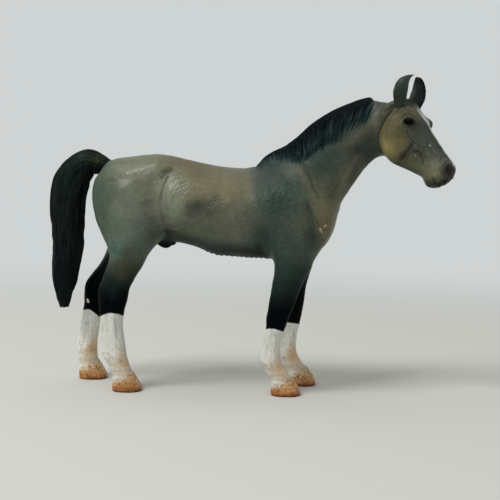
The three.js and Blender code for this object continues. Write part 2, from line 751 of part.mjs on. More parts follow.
// A tapered plug with a flat key side. It stands on a point and points along a normal.
function plug(point, normal, width, length, ease) {
  const radius = width / 2 + ease;
  const tip = radius - length * 0.06;
  const shaft = new THREE.CylinderGeometry(tip, radius, length + ease + OVERRUN, 20);
  shaft.translate(0, (length + ease - OVERRUN) / 2, 0);
  const flat = new THREE.BoxGeometry(width * 2, length * 4, width * 2);
  flat.translate(0, 0, width * 1.5 - KEY_DEPTH + ease);
  const keyed = toSolid(shaft).subtract(toSolid(flat));
  const geometry = toGeometry(keyed);
  geometry.applyQuaternion(new THREE.Quaternion().setFromUnitVectors(LEFT, normal.clone().normalize()));
  geometry.translate(point.x, point.y, point.z);
  return toSolid(geometry);
}

// Legs: sliced from the sole to the seam, each slice found by rays from its centre
function legSolid({ side, limb, hoof, centre }) {
  const whole = (p) => blend(
    blend(limb(p), trunkField(p), LIMB_BLEND), hoof(p), HOOF_BLEND,
  );
  const top = LEG_SEAM_HEIGHT - SEAM_GAP;
  const rings = sliceShares.map((share) => {
    const height = share * top;
    const middle = centre(height);
    return Array.from({ length: LEG_SIDES }, (_, s) => {
      const angle = 2 * Math.PI * s / LEG_SIDES;
      const ray = vec(Math.cos(angle), Math.sin(angle), 0);
      const point = surfaceAlong(whole, middle, ray, LIMB_DEPTH * 1.4);
      return point.setY(side * Math.max(side * point.y, SEAM_GAP / 2));
    });
  });
  const solid = toSolid(fromRings(rings));
  return solid.add(plug(centre(top), UP, LEG_PLUG, PLUG_LENGTH, 0));
}

// The farthest place on a ray that is still inside the field
function surfaceAlong(field, from, ray, reach) {
  const steps = 24;
  let inside = 0;
  for (let s = 1; s <= steps; s += 1) {
    const place = reach * s / steps;
    if (field(from.clone().addScaledVector(ray, place)) > 0) break;
    inside = place;
  }
  let outside = inside + reach / steps;
  for (let n = 0; n < 12; n += 1) {
    const middle = (inside + outside) / 2;
    if (field(from.clone().addScaledVector(ray, middle)) > 0) outside = middle;
    else inside = middle;
  }
  return from.clone().addScaledVector(ray, inside);
}

// The tail is a sweep along its curve with locks grooved into it
function tailSolid(ease, from, to) {
  const dock = vec(trunkX(0.03), 0, trunkZ(0.385));
  const path = new THREE.CatmullRomCurve3(tailShares.map(
    ([x, z]) => vec(dock.x + x * TAIL_REACH, 0, dock.z + z * TAIL_DROP),
  ));
  const table = smoothRows(tailShares.map(
    ([, , thick, wide], i) => [i / (tailShares.length - 1), thick, wide],
  ));
  const rings = Array.from({ length: TAIL_RINGS + 1 }, (_, r) => {
    const share = from + (to - from) * r / TAIL_RINGS;
    const middle = path.getPoint(share);
    const out = path.getTangent(share).cross(LEFT).normalize();
    const [thick, wide] = table(share);
    return Array.from({ length: TAIL_SIDES }, (_unused, s) => {
      const angle = 2 * Math.PI * s / TAIL_SIDES;
      const depth = TAIL_GROOVE * Math.min(share * 2, 1) * (s % 2) * Math.min(thick, 1);
      const swell = ease - (ease > 0 ? 0 : depth);
      return middle.clone()
        .addScaledVector(out, Math.cos(angle) * (thick * TAIL_THICKNESS / 2 + swell))
        .addScaledVector(LEFT, Math.sin(angle) * (wide * TAIL_WIDTH / 2 + swell));
    });
  });
  return toSolid(fromRings(rings));
}

// Ears: cupped leaves that open forward, their tips curled in to meet
function earSolid([side, turned, raised, swivel, curl]) {
  const forward = headSide.clone().cross(UP).normalize();
  const outward = headSide.clone().multiplyScalar(side);
  const turn = -2 * Math.PI * swivel * side;
  const broadway = outward.clone().applyAxisAngle(UP, turn);
  const backward = forward.clone().applyAxisAngle(UP, turn).negate();
  const sides = 14;
  const curlStart = 0.66;
  const rings = earShares.map(([height, out, ahead, broad, deep]) => {
    const inward = curl * Math.max(height - curlStart, 0) / (1 - curlStart);
    const middle = onHead(0.05, 0.225, 0)
      .addScaledVector(UP, (height + raised) * EAR_LENGTH)
      .addScaledVector(forward, (ahead + turned) * EAR_LENGTH)
      .addScaledVector(outward, (out - inward) * HEAD_WIDTH);
    return Array.from({ length: sides }, (_, s) => {
      const angle = 2 * Math.PI * s / sides;
      const cup = Math.sin(angle) > 0.1 ? 0.45 * Math.min(height * 4 + 0.4, 1) : 1;
      return middle.clone()
        .addScaledVector(broadway, Math.cos(angle) * broad * EAR_WIDTH)
        .addScaledVector(backward, Math.abs(Math.sin(angle)) * deep * EAR_DEPTH * cup);
    });
  });
  return toSolid(fromRings(rings));
}

// A flattened ball laid along the head
function lens(place, length, height, across) {
  const geometry = new THREE.SphereGeometry(1, 12, 8);
  geometry.scale(length / 2, height / 2, across / 2);
  geometry.applyMatrix4(new THREE.Matrix4().makeBasis(headAlong, headUp, headSide.clone().negate()));
  geometry.translate(place.x, place.y, place.z);
  return toSolid(geometry);
}

// A lock of hair: a pointed leaf that lies on a skin along a path of skin points
function lock(path, outward, width, thickness) {
  const sides = 8;
  const rings = lockShares.map((spread, r) => {
    const t = r / (lockShares.length - 1);
    const middle = path.getPoint(t);
    const out = outward(t);
    const across = path.getTangent(t).cross(out).normalize();
    const rise = Math.min(1, 2.2 * (1 - t) + 0.25);
    return Array.from({ length: sides }, (_, s) => {
      const angle = 2 * Math.PI * s / sides;
      return middle.clone()
        .addScaledVector(across, Math.cos(angle) * spread * width / 2)
        .addScaledVector(out, Math.sin(angle) * rise * thickness / 2);
    });
  });
  return toSolid(fromRings(rings));
}

// Mane locks start on the crest and fall down and back over the right side of the neck
function maneLock(share, size) {
  const outwardAt = (t) => {
    const turn = radians(-26 + t * 84 * size);
    return neckUp.clone().multiplyScalar(Math.cos(turn)).addScaledVector(LEFT, -Math.sin(turn));
  };
  const points = [0, 0.25, 0.5, 0.75, 1].map((t) => {
    const along = share - t * size * LOCK_LENGTH * 0.55 / NECK_LENGTH;
    const [top, , , , bend] = neckTable(along);
    const hub = onNeck(along, top * NECK_DEPTH * 0.35, -bend * NECK_BEND);
    return surfaceAlong(bodyField, hub, outwardAt(t), NECK_DEPTH)
      .addScaledVector(outwardAt(t), -0.25 * LOCK_THICKNESS);
  });
  return lock(new THREE.CatmullRomCurve3(points), outwardAt, LOCK_WIDTH, LOCK_THICKNESS);
}

function mane() {
  const locks = Array.from({ length: LOCK_COUNT }, (_, n) => {
    const share = n / (LOCK_COUNT - 1);
    return maneLock(0.07 + share * 0.82, 0.62 + 0.5 * Math.sin(Math.PI * share) - 0.15 * share);
  });
  return locks.reduce((whole, piece) => whole.add(piece));
}

// The seam between the neck and the head
const headSeam = onNeck(0.845, NECK_DEPTH * 0.08, -NECK_BEND * 0.65);
const headSeamNormal = vec(1, -0.12, 0.16).normalize();

function bodySolid() {
  const low = vec(trunkX(-0.05), -TRUNK_WIDTH * 0.7, LEG_SEAM_HEIGHT - BODY_CELL * 2.5);
  const high = vec(
    onNeck(1, 0, 0).x + NECK_DEPTH * 0.5, TRUNK_WIDTH * 0.7, onNeck(1, NECK_DEPTH * 0.6, 0).z,
  );
  let solid = facet(bodyField, low, high, BODY_CELL);
  solid = solid.add(mane());
  solid = solid.subtract(beyond(vec(0, 0, LEG_SEAM_HEIGHT), UP.clone().negate()));
  solid = solid.subtract(beyond(headSeam, headSeamNormal));
  for (const { centre } of Object.values(legs)) {
    solid = solid.subtract(
      plug(centre(LEG_SEAM_HEIGHT), UP, LEG_PLUG, PLUG_LENGTH, SEAM_GAP),
    );
  }
  solid = solid.add(plug(headSeam, headSeamNormal, HEAD_PLUG, PLUG_LENGTH, 0));
  return solid.subtract(tailSolid(SEAM_GAP, 0, 0.3));
}

function headSolid() {
  const span = vec(1, 1, 1).multiplyScalar(HEAD_LENGTH * 0.62);
  const middle = onHead(0.42, 0, 0);
  let solid = facet(frontField, middle.clone().sub(span), middle.clone().add(span), HEAD_CELL);
  const seam = headSeam.clone().addScaledVector(headSeamNormal, SEAM_GAP);
  for (const pose of earPoseShares) solid = solid.add(earSolid(pose));
  for (const side of [-1, 1]) {
    solid = solid.add(lens(onHead(0.325, 0.19, side * 0.43), EYE_LENGTH, EYE_HEIGHT, EYE_HEIGHT));
    const nostril = onHead(0.925, 0.22, side * 0.36);
    solid = solid.subtract(lens(nostril, NOSTRIL_LENGTH, NOSTRIL_HEIGHT, NOSTRIL_HEIGHT));
  }
  const lips = onHead(1, -0.02, 0);
  solid = solid.subtract(lens(lips, MOUTH_LENGTH * 2, MOUTH_HEIGHT, HEAD_WIDTH));
  solid = solid.subtract(beyond(seam, headSeamNormal.clone().negate()));
  return solid.subtract(plug(headSeam, headSeamNormal, HEAD_PLUG, PLUG_LENGTH, SEAM_GAP));
}

function part(name, solid, colour, roughness) {
  const material = new THREE.MeshStandardMaterial({ color: colour, roughness, metalness: 0 });
  const mesh = new THREE.Mesh(toGeometry(solid), material);
  mesh.name = name;
  return mesh;
}

const horse = new THREE.Group();
horse.add(part('body', bodySolid(), 0x77735c, 0.4));
horse.add(part('head', headSolid(), 0x6b6a55, 0.4));
for (const [name, leg] of Object.entries(legs)) {
  horse.add(part(name, legSolid(leg), 0xcfcfca, 0.5));
}
horse.add(part('tail', tailSolid(0, 0.02, 1), 0x17211f, 0.5));

// The origin is the middle of the ground under the figure.
const box = new THREE.Box3().setFromObject(horse, true);
const middle = box.getCenter(vec(0, 0, 0));
for (const mesh of horse.children) mesh.geometry.translate(-middle.x, -middle.y, -box.min.z);

export default horse;
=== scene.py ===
# Toy horse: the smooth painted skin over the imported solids, with floor, light and camera.
# The form is worked out in millimetres, +X to the muzzle and +Y to the horse's left, and is
# moved to the part's own origin and to metres at the end.

import math

import bpy
import numpy as np
from mathutils import Matrix, Vector


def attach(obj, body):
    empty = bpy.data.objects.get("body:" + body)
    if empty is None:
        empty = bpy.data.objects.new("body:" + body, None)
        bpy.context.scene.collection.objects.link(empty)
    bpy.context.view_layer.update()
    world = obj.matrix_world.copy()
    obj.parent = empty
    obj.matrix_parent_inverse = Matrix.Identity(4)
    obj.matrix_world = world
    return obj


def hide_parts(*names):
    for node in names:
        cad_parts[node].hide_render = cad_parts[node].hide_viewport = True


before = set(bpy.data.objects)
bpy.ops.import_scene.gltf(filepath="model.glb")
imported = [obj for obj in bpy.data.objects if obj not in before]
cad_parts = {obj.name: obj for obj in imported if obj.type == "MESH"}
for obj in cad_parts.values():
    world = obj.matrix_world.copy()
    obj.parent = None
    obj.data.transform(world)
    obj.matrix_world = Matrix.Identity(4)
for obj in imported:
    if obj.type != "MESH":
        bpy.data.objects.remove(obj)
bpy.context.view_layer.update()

# Sizes in millimetres, the same as the solids'
TRUNK_LENGTH, TRUNK_DEPTH, TRUNK_WIDTH, BARREL_HEIGHT, TRUNK_CAP = 87, 36, 34, 66, 5
NECK_LENGTH, NECK_DEPTH, NECK_WIDTH, NECK_SLOPE, NECK_BEND = 52, 25, 20, 40, 6
HEAD_LENGTH, HEAD_DEPTH, HEAD_WIDTH = 35.3, 20, 12
HEAD_SLOPE, HEAD_TURN, HEAD_TILT = 51.5, 38, 10
EAR_LENGTH, EAR_WIDTH, EAR_DEPTH = 9.7, 6, 7.2
LEG_HEIGHT, LIMB_DEPTH, LIMB_WIDTH = 80, 10, 10
HOOF_LENGTH, HOOF_WIDTH, HOOF_HEIGHT, STANCE_WIDTH = 10.2, 9.4, 7.2, 19
TAIL_DROP, TAIL_REACH, TAIL_THICKNESS, TAIL_WIDTH = 56, 18, 12, 11
NECK_BLEND, LIMB_BLEND, HEAD_BLEND, HOOF_BLEND, SHEATH_SIZE = 7, 5, 4, 0.7, 2.8
LEG_SEAM_HEIGHT = 46
ORIGIN_SHIFT = np.array([1.342, 2.602, 0.0])
MM = 0.001

# Cells of the skin, from coarse to fine, and the distance given to points outside a loft's box
COARSE, MIDDLE, FINE = 3.6, 0.9, 0.45
FAR = 9.0
SKIN_CORNER, SKIN_CELLS = np.array([-68.4, -32.4, -3.6]), np.array([40, 15, 34])
# Where the fore legs are parted from the hind legs, and the height under which no head is
LEG_PARTING, HEAD_FLOOR = -15, 60

# Rows of a loft: share of the length, top, bottom and half width in shares of depth and
# width, narrowing of the top, side bend.
trunk_shares = [
    (0.00, 0.38, -0.05, 0.20, 0.1), (0.05, 0.425, -0.17, 0.265, 0.1),
    (0.10, 0.455, -0.28, 0.34, 0.15), (0.15, 0.472, -0.32, 0.39, 0.15),
    (0.20, 0.486, -0.347, 0.42, 0.15), (0.25, 0.495, -0.36, 0.435, 0.15),
    (0.30, 0.487, -0.367, 0.435, 0.15), (0.40, 0.435, -0.405, 0.455, 0.15),
    (0.50, 0.39, -0.486, 0.485, 0.2), (0.60, 0.37, -0.505, 0.494, 0.25),
    (0.65, 0.385, -0.51, 0.482, 0.35), (0.70, 0.415, -0.514, 0.46, 0.5),
    (0.75, 0.425, -0.517, 0.435, 0.55), (0.80, 0.40, -0.51, 0.41, 0.5),
    (0.85, 0.35, -0.495, 0.39, 0.4), (0.90, 0.265, -0.47, 0.36, 0.3),
    (0.95, 0.17, -0.375, 0.31, 0.2), (1.00, 0.06, -0.22, 0.235, 0.1),
]
neck_shares = [
    (0.0, 0.54, -0.56, 0.60, 0.5, 0.0), (0.1, 0.60, -0.58, 0.60, 0.5, 0.0),
    (0.2, 0.61, -0.57, 0.565, 0.5, 0.0), (0.3, 0.585, -0.53, 0.51, 0.45, 0.0),
    (0.4, 0.58, -0.465, 0.45, 0.4, 0.05), (0.5, 0.59, -0.40, 0.395, 0.4, 0.15),
    (0.6, 0.575, -0.34, 0.35, 0.35, 0.28), (0.7, 0.535, -0.32, 0.315, 0.3, 0.42),
    (0.8, 0.47, -0.385, 0.29, 0.25, 0.58), (0.9, 0.385, -0.43, 0.26, 0.2, 0.78),
    (1.0, 0.23, -0.26, 0.20, 0.1, 1.0),
]
head_shares = [
    (0.0, 0.28, -0.24, 0.33, 0.0), (0.1, 0.35, -0.39, 0.42, 0.0),
    (0.2, 0.385, -0.475, 0.475, 0.05), (0.3, 0.39, -0.50, 0.48, 0.1),
    (0.4, 0.38, -0.53, 0.45, 0.15), (0.5, 0.36, -0.495, 0.405, 0.2),
    (0.6, 0.355, -0.39, 0.355, 0.2), (0.7, 0.355, -0.29, 0.325, 0.15),
    (0.8, 0.36, -0.205, 0.325, 0.1), (0.9, 0.365, -0.215, 0.345, 0.1),
    (1.0, 0.30, -0.13, 0.30, 0.1),
]
haunch_shares = [
    (0.65, 0.99, -0.76, 0.70, 0.06), (0.70, 1.20, -0.95, 0.76, 0.10),
    (0.75, 1.32, -1.13, 0.80, 0.14), (0.80, 1.38, -1.24, 0.82, 0.18),
    (0.85, 1.38, -1.30, 0.81, 0.22), (0.90, 1.32, -1.29, 0.77, 0.27),
    (0.95, 1.18, -1.16, 0.68, 0.33), (1.00, 0.93, -0.90, 0.52, 0.40),
]
right_hind_shares = [
    (0.05, 0.24, -0.44, 0.36, -0.07), (0.10, 0.16, -0.59, 0.35, -0.06),
    (0.15, 0.02, -0.81, 0.38, -0.05), (0.20, -0.04, -0.87, 0.33, -0.04),
    (0.25, -0.10, -0.90, 0.30, -0.03), (0.30, -0.13, -0.93, 0.30, -0.02),
    (0.35, -0.09, -0.98, 0.34, 0.00), (0.40, 0.01, -1.01, 0.39, 0.01),
    (0.45, 0.09, -1.00, 0.39, 0.02), (0.50, 0.29, -0.85, 0.42, 0.02),
    (0.55, 0.53, -0.70, 0.50, 0.02), (0.60, 0.72, -0.62, 0.60, 0.04),
] + haunch_shares
left_hind_shares = [
    (0.05, -1.42, -2.04, 0.36, 0.02), (0.10, -1.49, -2.22, 0.35, 0.01),
    (0.15, -1.52, -2.28, 0.38, 0.01), (0.20, -1.48, -2.19, 0.33, 0.00),
    (0.25, -1.42, -2.14, 0.30, 0.00), (0.30, -1.36, -2.08, 0.30, 0.00),
    (0.35, -1.26, -2.01, 0.34, 0.00), (0.40, -1.14, -2.00, 0.39, 0.00),
    (0.45, -0.99, -1.94, 0.39, 0.01), (0.50, -0.72, -1.66, 0.42, 0.02),
    (0.55, -0.36, -1.35, 0.50, 0.03), (0.60, 0.02, -1.16, 0.60, 0.04),
    (0.65, 0.40, -1.06, 0.70, 0.06), (0.70, 0.80, -1.09, 0.76, 0.10),
] + haunch_shares[2:]
shoulder_shares = [
    (0.65, 1.08, -0.75, 0.60, 0.08), (0.70, 1.22, -0.98, 0.62, 0.12),
    (0.75, 1.26, -1.08, 0.62, 0.16), (0.80, 1.20, -1.10, 0.60, 0.20),
    (0.85, 1.02, -1.08, 0.56, 0.26), (0.90, 0.72, -1.00, 0.48, 0.34),
    (0.95, 0.36, -0.84, 0.38, 0.44),
]
right_fore_shares = [
    (0.05, 0.24, -0.54, 0.36, 0.09), (0.10, 0.03, -0.75, 0.34, 0.09),
    (0.15, -0.21, -0.98, 0.37, 0.09), (0.20, -0.25, -0.93, 0.29, 0.09),
    (0.25, -0.20, -0.83, 0.28, 0.09), (0.30, -0.08, -0.76, 0.33, 0.09),
    (0.35, 0.08, -0.72, 0.38, 0.09), (0.40, 0.23, -0.67, 0.38, 0.09),
    (0.45, 0.37, -0.61, 0.42, 0.08), (0.50, 0.53, -0.55, 0.47, 0.08),
    (0.55, 0.73, -0.50, 0.52, 0.08), (0.60, 0.90, -0.52, 0.57, 0.08),
] + shoulder_shares
left_fore_shares = [
    (0.05, 0.72, -0.06, 0.36, -0.03), (0.10, 0.51, -0.24, 0.34, -0.02),
    (0.15, 0.28, -0.54, 0.37, -0.02), (0.20, 0.26, -0.48, 0.29, -0.01),
    (0.25, 0.31, -0.38, 0.28, 0.00), (0.30, 0.40, -0.34, 0.33, 0.01),
    (0.35, 0.47, -0.32, 0.38, 0.02), (0.40, 0.53, -0.34, 0.38, 0.03),
    (0.45, 0.58, -0.36, 0.42, 0.04), (0.50, 0.67, -0.38, 0.47, 0.05),
    (0.55, 0.79, -0.44, 0.52, 0.06), (0.60, 0.90, -0.52, 0.57, 0.08),
] + shoulder_shares
leg_shares = {
    "right_foreleg": (-1, 0.805, 0.48, 0.09, right_fore_shares),
    "left_foreleg": (1, 0.805, 1.00, -0.03, left_fore_shares),
    "right_hind_leg": (-1, 0.15, 0.56, -0.07, right_hind_shares),
    "left_hind_leg": (1, 0.15, -1.13, 0.02, left_hind_shares),
}
hoof_shares = [
    (0.00, -0.02, -1.00, 0.49), (0.16, 0.00, -1.01, 0.50), (0.50, -0.11, -1.01, 0.48),
    (0.83, -0.26, -0.99, 0.44), (1.02, -0.36, -0.95, 0.40),
]
sheath_shares = [(0, 1.1, -0.4, 0.6, 0, 0), (0.6, 1.6, -0.95, 0.8, 0, 0), (1, 1.3, -0.3, 0.55, 0, 0)]
ear_shares = [
    (-0.20, 0.27, 0.13, 0.32, 0.40), (0.00, 0.30, 0.16, 0.37, 0.46),
    (0.20, 0.36, 0.20, 0.44, 0.52), (0.39, 0.39, 0.24, 0.49, 0.54),
    (0.65, 0.39, 0.29, 0.43, 0.48), (0.82, 0.34, 0.35, 0.36, 0.40),
    (0.91, 0.26, 0.39, 0.29, 0.31), (0.97, 0.17, 0.42, 0.20, 0.22),
    (0.985, 0.11, 0.43, 0.10, 0.13),
]
ear_pose_shares = [(-1, 0.06, -0.11, 0.13, 0), (1, 0.20, -0.16, 0.03, 0.17)]
tail_shares = [
    (0.30, -0.035, 0.36, 0.36), (0.05, -0.012, 0.46, 0.44), (-0.10, 0.003, 0.60, 0.54),
    (-0.33, 0.01, 0.80, 0.70), (-0.55, -0.045, 0.98, 0.85), (-0.68, -0.125, 1.04, 0.93),
    (-0.74, -0.235, 1.02, 0.98), (-0.75, -0.36, 0.99, 1.00), (-0.74, -0.47, 0.93, 1.00),
    (-0.75, -0.565, 0.89, 0.96), (-0.78, -0.65, 0.84, 0.92), (-0.80, -0.74, 0.76, 0.82),
    (-0.82, -0.82, 0.56, 0.66), (-0.82, -0.88, 0.40, 0.46), (-0.81, -0.93, 0.22, 0.26),
]
# Clay strokes that the solids have: from, to, reach and lift
trunk_stroke_shares = [
    (0.64, 0.36, 0.94, -0.12, 0.10, 0.6), (0.74, 0.02, 0.80, -0.32, 0.15, 0.8),
    (0.62, 0.28, 0.68, -0.40, 0.08, -0.5), (0.96, -0.12, 0.99, -0.34, 0.09, 0.6),
    (0.285, 0.05, 0.27, 0.22, 0.11, -1.0), (0.31, -0.30, 0.25, -0.02, 0.06, -0.9),
    (0.27, 0.33, 0.25, 0.30, 0.09, 0.9), (0.09, 0.22, 0.14, -0.30, 0.05, -0.5),
    (0.17, 0.10, 0.20, -0.25, 0.16, 0.7), (0.40, -0.30, 0.60, -0.40, 0.14, 0.5),
]
head_stroke_shares = [
    (0.24, 0.26, 0.33, 0.25, 0.11, 1.9), (0.30, 0.06, 0.62, 0.06, 0.06, 0.6),
    (0.40, -0.08, 0.56, -0.22, 0.10, -0.7), (0.30, -0.22, 0.40, -0.32, 0.16, 0.6),
    (0.10, 0.12, 0.24, -0.40, 0.05, -0.5), (0.84, 0.24, 0.90, 0.22, 0.09, 0.6),
    (0.66, 0.10, 0.78, 0.14, 0.08, -0.3),
]


# Form helpers on whole arrays of points

def unit(v):
    v = np.asarray(v, float)
    return v / np.linalg.norm(v)


FORWARD, LEFT, UP = np.eye(3)


def smooth_rows(rows):
    rows = np.array(rows, float)
    x, y = rows[:, 0], rows[:, 1:]
    before, after = np.vstack([rows[:1], rows[:-1]]), np.vstack([rows[1:], rows[-1:]])
    slope = (after[:, 1:] - before[:, 1:]) / (after[:, :1] - before[:, :1])

    def at(share):
        i = np.searchsorted(x[1:-1], share)
        span = (x[i + 1] - x[i])[..., None]
        t = np.clip((share[..., None] - x[i][..., None]) / span, 0, 1)
        rise, a, b = y[i + 1] - y[i], slope[i] * span, slope[i + 1] * span
        value = y[i] + t * (a + t * (3 * rise - 2 * a - b + t * (a + b - 2 * rise)))
        return np.moveaxis(value, -1, 0)
    return at


def round_end(inset, cap):
    if not cap:
        return 1.0
    gap = np.clip(1 - inset / cap, 0, 1)
    return np.sqrt(np.maximum(1 - gap ** 2, 1e-6))


# Signed distance to a tube along a line. It is worked out only inside its box.
def loft(origin, along, up, side, length, section, start_cap, end_cap, power=2, *, box):
    def field(p):
        near = np.all((p > box[0]) & (p < box[1]), axis=1)
        out = np.full(len(p), FAR)
        if near.any():
            out[near] = inner(p[near])
        return out

    def inner(p):
        q = p - origin
        place = q @ along
        held = np.clip(place, 0, length)
        top, bottom, half, pinch, shift = section(held / length)
        cap = np.minimum(round_end(held, start_cap), round_end(length - held, end_cap))
        rise, across = q @ up - (top + bottom) / 2, q @ side - shift
        v = rise / np.maximum((top - bottom) / 2 * cap, 1e-6)
        narrow = 1 - pinch * np.clip(v, 0, 1) ** 2
        u = across / np.maximum(half * narrow * cap, 1e-6)
        reach = (np.abs(u) ** power + np.abs(v) ** power) ** (1 / power)
        away = np.hypot(rise, across)
        core = -np.minimum(half, (top - bottom) / 2)
        distance = np.where(reach > 1e-3, away * (1 - 1 / np.maximum(reach, 1e-3)), core)
        past = np.abs(place - held)
        return np.where(past > 0, np.hypot(np.maximum(distance, 0), past), distance)
    return field


def blend(a, b, reach):
    near = np.maximum(reach - np.abs(a - b), 0) / reach
    return np.minimum(a, b) - near * near * reach / 4


def stroke(x, z, x1, z1, x2, z2, reach, lift):
    dx, dz = x2 - x1, z2 - z1
    t = np.clip(((x - x1) * dx + (z - z1) * dz) / (dx * dx + dz * dz + 1e-9), 0, 1)
    away = np.hypot(x - x1 - t * dx, z - z1 - t * dz) / reach
    return lift * np.exp(-away * away)


def smooth(low, high, x):
    t = np.clip((x - low) / (high - low), 0, 1)
    return t * t * (3 - 2 * t)


# 1 at the centre and less all round it, by values, centre and reach in each direction
def bell(*spreads):
    away = 0
    for x, centre, reach in zip(spreads[::3], spreads[1::3], spreads[2::3]):
        away = away + ((x - centre) / reach) ** 2
    return np.exp(-away)


def hashed(i, j, k, seed):
    h = (i * 374761393 + j * 668265263 + k * 2147483647 + seed * 1274126177) & 0xFFFFFFFF
    h = ((h ^ (h >> 13)) * 1274126177) & 0xFFFFFFFF
    return ((h ^ (h >> 16)) & 0xFFFF) / 65535.0


# Smooth random values from -1 to 1, with about one swell for each step of size
def noise(p, size, seed):
    q = np.asarray(p, float) / size
    base = np.floor(q).astype(np.int64)
    t = q - base
    t = t * t * (3 - 2 * t)
    out = np.zeros(len(q))
    for corner in range(8):
        step = np.array([corner & 1, corner >> 1 & 1, corner >> 2 & 1])
        weight = np.prod(np.where(step, t, 1 - t), axis=1)
        cell = base + step
        out += weight * hashed(cell[:, 0], cell[:, 1], cell[:, 2], seed)
    return out * 2 - 1


# The same forms as in the solids
rump_x = -TRUNK_LENGTH * 0.64


def trunk_x(share):
    return rump_x + share * TRUNK_LENGTH


def trunk_z(share):
    return BARREL_HEIGHT + share * TRUNK_DEPTH


trunk_table = smooth_rows(trunk_shares)


def trunk_section(share):
    top, bottom, half, pinch = trunk_table(share)
    return top * TRUNK_DEPTH, bottom * TRUNK_DEPTH, half * TRUNK_WIDTH, pinch, 0


trunk_field = loft(np.array([rump_x, 0, BARREL_HEIGHT]), FORWARD, UP, LEFT, TRUNK_LENGTH,
                   trunk_section, TRUNK_CAP, TRUNK_CAP,
                   box=([-66, -26, 38], [42, 26, 94]))

slope = math.radians(NECK_SLOPE)
neck_origin = np.array([trunk_x(0.76), 0, BARREL_HEIGHT])
neck_along = np.array([math.cos(slope), 0, math.sin(slope)])
neck_up = np.array([-neck_along[2], 0, neck_along[0]])
neck_table = smooth_rows(neck_shares)


def neck_section(share):
    top, bottom, half, pinch, bend = neck_table(share)
    return top * NECK_DEPTH, bottom * NECK_DEPTH, half * NECK_WIDTH, pinch, -bend * NECK_BEND


neck_field = loft(neck_origin, neck_along, neck_up, LEFT, NECK_LENGTH, neck_section,
                  NECK_DEPTH * 0.3, TRUNK_CAP, box=([-16, -24, 44], [64, 22, 116]))


def on_neck(share, rise, across):
    return neck_origin + share * NECK_LENGTH * neck_along + rise * neck_up + across * LEFT


turn, tip = math.radians(HEAD_TURN), math.radians(HEAD_SLOPE)
poll = on_neck(0.985, 0, -NECK_BEND)
head_along = np.array([math.cos(turn) * math.cos(tip), -math.sin(turn) * math.cos(tip), -math.sin(tip)])
level = np.array([math.sin(turn), math.cos(turn), 0])
head_up = unit(np.cross(head_along, level) + level * math.sin(math.radians(HEAD_TILT)))
head_side = np.cross(head_up, head_along)
head_origin = poll - head_along * HEAD_LENGTH * 0.09
head_table = smooth_rows(head_shares)


def head_section(share):
    top, bottom, half, pinch = head_table(share)
    return top * HEAD_DEPTH, bottom * HEAD_DEPTH, half * HEAD_WIDTH, pinch, 0


head_loft = loft(head_origin, head_along, head_up, head_side, HEAD_LENGTH, head_section,
                 HEAD_DEPTH * 0.15, HEAD_DEPTH * 0.17, 2.3, box=([28, -36, 60], [84, 16, 118]))


def on_head(share, rise, across):
    return (head_origin + share * HEAD_LENGTH * head_along + rise * HEAD_DEPTH * head_up
            + across * HEAD_WIDTH * head_side)


def head_coordinates(p):
    q = p - head_origin
    return (q @ head_along) / HEAD_LENGTH, (q @ head_up) / HEAD_DEPTH, (q @ head_side) / HEAD_WIDTH


head_strokes = [(x1 * HEAD_LENGTH, z1 * HEAD_DEPTH, x2 * HEAD_LENGTH, z2 * HEAD_DEPTH,
                 reach * HEAD_DEPTH, rise) for x1, z1, x2, z2, reach, rise in head_stroke_shares]
trunk_strokes = [(trunk_x(x1), trunk_z(z1), trunk_x(x2), trunk_z(z2), reach * TRUNK_DEPTH, rise)
                 for x1, z1, x2, z2, reach, rise in trunk_stroke_shares]


def head_field(p):
    out = head_loft(p)
    near = out < FAR - 1
    if near.any():
        q = p[near] - head_origin
        a, u, s = q @ head_along, q @ head_up, q @ head_side
        sideways = np.minimum(np.abs(s) / (HEAD_WIDTH * 0.3), 1)
        out[near] -= sum(stroke(a, u, *row) for row in head_strokes) * sideways ** 2
    return out


def leg_parts(side, hip, toe, step, rows):
    hip_x, stance = trunk_x(hip), side * STANCE_WIDTH / 2
    table = smooth_rows(rows)
    first, last = rows[0][0], rows[-1][0]

    def section(share):
        front, back, half, inward = table(first + share * (last - first))
        return front * LIMB_DEPTH, back * LIMB_DEPTH, half * LIMB_WIDTH, 0, -side * inward * LIMB_WIDTH

    low = np.array([min(r[2] for r in rows) * LIMB_DEPTH + hip_x - 8, min(side * 18, 0) - 10, -2])
    high = np.array([max(r[1] for r in rows) * LIMB_DEPTH + hip_x + 8, max(side * 18, 0) + 10, 92])
    limb = loft(np.array([hip_x, stance, first * LEG_HEIGHT]), UP, FORWARD, LEFT,
                (last - first) * LEG_HEIGHT, section, LIMB_DEPTH * 0.2, LIMB_DEPTH * 0.6, 2.2,
                box=(low, high))
    toe_x = hip_x + toe * LIMB_DEPTH
    hoof_y = stance - side * step * LIMB_WIDTH
    hoof_table = smooth_rows(hoof_shares)

    def hoof_section(share):
        front, back, half = hoof_table(share)
        return front * HOOF_LENGTH, back * HOOF_LENGTH, half * HOOF_WIDTH, 0, 0

    hoof = loft(np.array([toe_x, hoof_y, 0]), UP, FORWARD, LEFT, HOOF_HEIGHT, hoof_section,
                0, HOOF_HEIGHT * 0.1, 2.4,
                box=([toe_x - 15, hoof_y - 9, -4], [toe_x + 5, hoof_y + 9, 14]))
    return {"side": side, "limb": limb, "hoof": hoof, "toe": toe_x, "hip": hip_x, "table": table}


legs = {name: leg_parts(*shares) for name, shares in leg_shares.items()}


def on_leg(p, name):
    return (np.sign(p[:, 1]) == legs[name]["side"]) & ((p[:, 0] > LEG_PARTING) == ("fore" in name))


